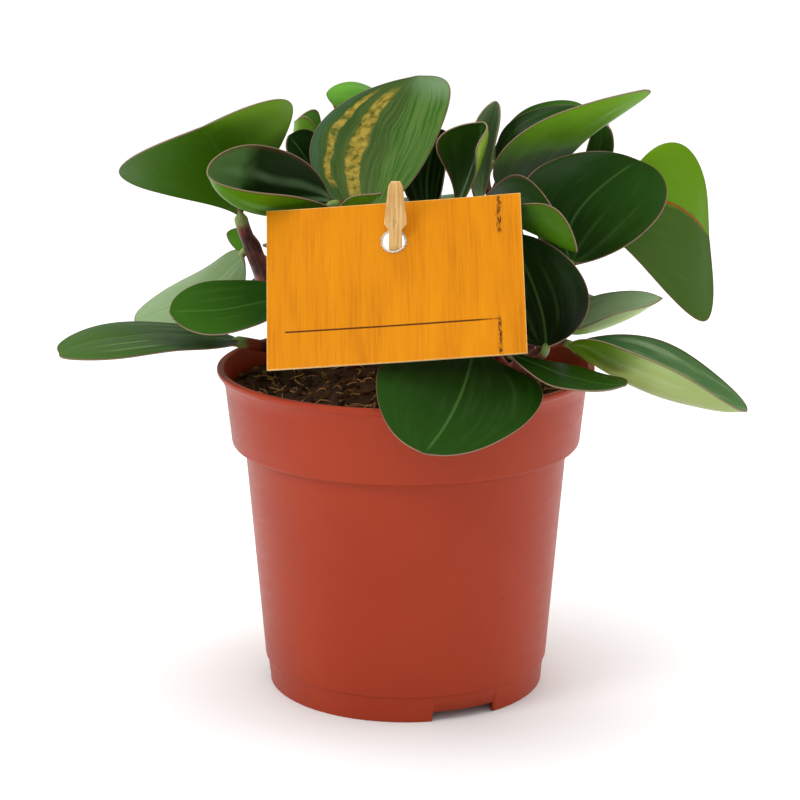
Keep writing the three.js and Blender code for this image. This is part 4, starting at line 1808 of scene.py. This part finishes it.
STEMS = (
    StemPlan("stem_left", ((-42, 20, 109), (-45, 19, 122), (-50, 19, 140), (-54, 17, 152)), (
        Blade("leaf_upper_left", 0.97, (-57, 14, 161), (-67, -18, 197), (-39, 14, 201), (-96, -6, 179),
              (-64, -4, 189), Tone.OLIVE, 0.74, 1, 1.7),
        Blade("leaf_left_oval", 0.35, (-39, -18, 141), (-78, -28, 137), (-58, -38, 132), (-63, -14, 145),
              (-60, -25, 137), Tone.MID),
        Blade("leaf_low_left", 0.06, (-57, -8, 122.5), (-112.3, -46, 127.3), (-86, -44, 126),
              (-95, -6, 129), (-90, -23, 127.5), Tone.RIDGED, 0.57, 2, 1.4),
        Blade("leaf_left_behind", 0.6, (-57.5, 24, 147), (-95, 18, 124), (-64, 5, 128), (-75, 34, 138),
              (-73, 18, 134), Tone.PALE_SHEENED),
        Blade("leaf_bud_left", 0.75, (-51, 33, 144), (-63, 30, 153), (-57, 29, 145.5), (-55, 34, 153),
              (-56, 32.5, 148.5), Tone.BRIGHT),
    )),
    StemPlan("stem_centre_left", ((-18, 16, 109), (-19, 14, 122), (-21, 10, 145), (-22, 10, 157)), (
        Blade("leaf_front_boat", 0.8, (-25, -3, 169), (-64, -35, 184), (-38, -23, 175),
              (-45, -11, 190), (-49, -11, 168.3), Tone.BOAT_SHEENED, 0.45),
        Blade("leaf_variegated", 0.95, (-12.5, 3.5, 165), (4, 34, 208), (-32, 12, 190), (13, 20, 194),
              (-7, 22, 187), Tone.VARIEGATED, 0.54),
        Blade("leaf_under_variegated", 0.9, (-22, -9, 163), (-8, -11, 174), (-18, -5, 170.5),
              (-21, -17, 172), (-16.5, -10, 168), Tone.BRIGHT),
        Blade("leaf_dark_gap", 0.9, (-26, 20, 167), (-40, 12, 190), (-37, 4, 180), (-30, 24, 187),
              (-34, 15, 180), Tone.SHADOWED),
        Blade("leaf_funnel", 0.99, (-28.3, 37, 170.7), (-38.7, 30, 192.5), (-32.3, 25, 193),
              (-30.3, 41, 193.4), (-36.8, 35, 182.5), Tone.BRIGHT),
        spread_blade("leaf_inner_left", 0.55, (-32, 29, 143), 150, 18, 6, 20, 20, Tone.DEEP),
    )),
    StemPlan("stem_centre", ((6, 14, 109), (7, 12, 122), (10, 8, 140), (12, 7, 153)), (
        Blade("leaf_dark_centre", 0.95, (8, 16, 162), (12, 36, 189), (-1, 22, 176), (14, 24, 178),
              (8, 32, 177), Tone.SHADOWED),
        Blade("leaf_curled", 0.9, (16, 2, 164), (26, 5, 195.5), (10, 0, 189.5), (23.5, -9, 188),
              (25.5, 9, 189), Tone.CURL_BACKLIT, 0.7),
        Blade("leaf_narrow", 0.98, (25, 12, 167), (31, 26, 200), (22, 14, 188), (31, 20, 187), (28, 28, 185),
              Tone.PALE_SHEENED),
        spread_blade("leaf_inner_centre", 0.45, (4, 26, 133), 90, 8, 0, 36, 32, Tone.DEEP),
        spread_blade("leaf_back_centre", 0.8, (8, 28, 150), 96, 20, 0, 36, 30, Tone.MID),
    )),
    StemPlan("stem_right", ((30, 4, 109), (32, 4, 120), (37, 4, 137), (42, 5, 150)), (
        Blade("leaf_right_oval", 0.85, (55, -16, 151), (80, 16, 181), (42, -6, 180), (83, -8, 163),
              (62, 6, 169), Tone.DEEP, 0.63, 1),
        Blade("leaf_right_edge", 0.95, (70, 10, 155), (107.5, 36, 151), (104, 32, 121.3),
              (98, 36, 183.5), (94, 24, 164), Tone.FOLD_SHADED, 0.69, 1),
        Blade("leaf_boat_right", 0.85, (23.5, -12, 170), (55, -38, 159.5), (40, -14, 180),
              (46, -36, 174.3), (43, -24, 163), Tone.DEEP, 0.6),
        Blade("leaf_upper_right", 0.98, (40, 14, 168), (79, -8, 208), (64, 10, 191), (34.5, -6, 190.5),
              (54, 6, 189.5), Tone.LIME, 0.52),
        spread_blade("leaf_back_right", 0.35, (46, 22, 129), 46, -6, -6, 42, 38, Tone.DEEP),
    )),
    StemPlan("stem_front_right", ((30, -26, 109), (32, -27, 113), (36, -29, 117), (41, -31, 122)), (
        Blade("leaf_behind_card", 0.9, (46, -36, 127), (34, -20, 162), (28, -26, 142), (59, -36, 148),
              (43, -28, 144), Tone.SHADOWED),
        Blade("leaf_pointed", 0.95, (52, -16, 129), (85, -24, 141), (66, -8, 139), (64, -30, 135),
              (67, -19, 131), Tone.PALE_SHEENED, 0.55, -1),
        Blade("leaf_long_right", 0.8, (55, -34, 127), (110, -54, 110), (87, -38, 128),
              (74, -64, 131.5), (76, -50, 117), Tone.LONG_SHEENED, 0.42),
        Blade("leaf_low_right", 0.5, (33, -48, 128), (69, -72, 123), (62, -52, 122.5), (50, -78, 123),
              (59, -69, 122.5), Tone.DEEP, 0.62),
        Blade("leaf_over_rim", 0.3, (22, -44, 127), (6, -84, 104), (43, -65, 115), (-8, -50, 125),
              (15, -68, 113), Tone.DEEP, 0.56),
    )),
    StemPlan("stem_back_right", ((22, 34, 109), (23, 34, 120), (28, 35, 145), (32, 36, 163)), (
        Blade("leaf_right_behind", 0.9, (33, 21, 174), (63, 23, 197.5), (38, 31, 193.5), (50, 11, 185),
              (46, 25, 188), Tone.DEEP),
        Blade("leaf_right_far", 0.98, (30, 34, 177), (64, 50, 195), (44, 48, 195.5), (50, 34, 188),
              (47, 44, 190), Tone.MID),
        Blade("leaf_right_tip", 0.9, (66, 40, 172), (69, 38, 191), (64, 40, 182), (73, 34, 183),
              (69, 42, 181), Tone.MID),
        spread_blade("leaf_back_high_right", 0.93, (38, 44, 167), 50, 22, 10, 50, 40, Tone.DEEP),
        spread_blade("leaf_back_side_right", 0.6, (48, 40, 148), 22, 4, -14, 46, 40, Tone.MID),
        spread_blade("leaf_back_low_right", 0.35, (26, 46, 127), 78, -8, 6, 42, 42, Tone.DEEP),
    )),
    StemPlan("stem_back_left", ((-20, 36, 109), (-20, 36, 120), (-16, 40, 150), (-12, 43, 176)), (
        Blade("leaf_behind_variegated", 0.97, (-4, 52, 192.5), (-28, 48, 200), (-16, 46, 192),
              (-15, 56, 202.5), (-16, 48, 198.5), Tone.BRIGHT),
        spread_blade("leaf_back_high", 0.93, (-8, 54, 175), 102, 38, -8, 40, 36, Tone.DEEP),
        spread_blade("leaf_back_high_left", 0.7, (-29, 46, 156), 140, 12, 12, 52, 44, Tone.DEEP),
        spread_blade("leaf_back_mid", 0.4, (-18, 49, 140), 100, -14, -6, 40, 38, Tone.MID),
        spread_blade("leaf_back_low_left", 0.3, (-36, 44, 124), 140, -4, 8, 48, 42, Tone.DEEP),
        spread_blade("leaf_back_low", 0.2, (-6, 50, 120), 82, -10, 4, 38, 38, Tone.MID),
    )),
)

MATERIALS = {
    **{tone: tone.value.dress() for tone in Tone},
    "pot": PotPlastic().dress(),
    "peat": Peat().dress(),
    "stem": StemSkin().dress(),
    "card": PrintedCard().dress(),
    "paper": TornPaper().dress(),
    "wood": LightWood().dress(),
}


def main() -> None:
    """Builds the studio and every sub-assembly."""
    logging.basicConfig(level=logging.INFO, format="%(name)s %(message)s")
    Studio().build()
    Pot().build()
    Soil().build()
    for plan in STEMS:
        LeafyStem(plan).build()
    LabelCard().build()
    Stake().build()


if __name__ == "__main__":
    main()
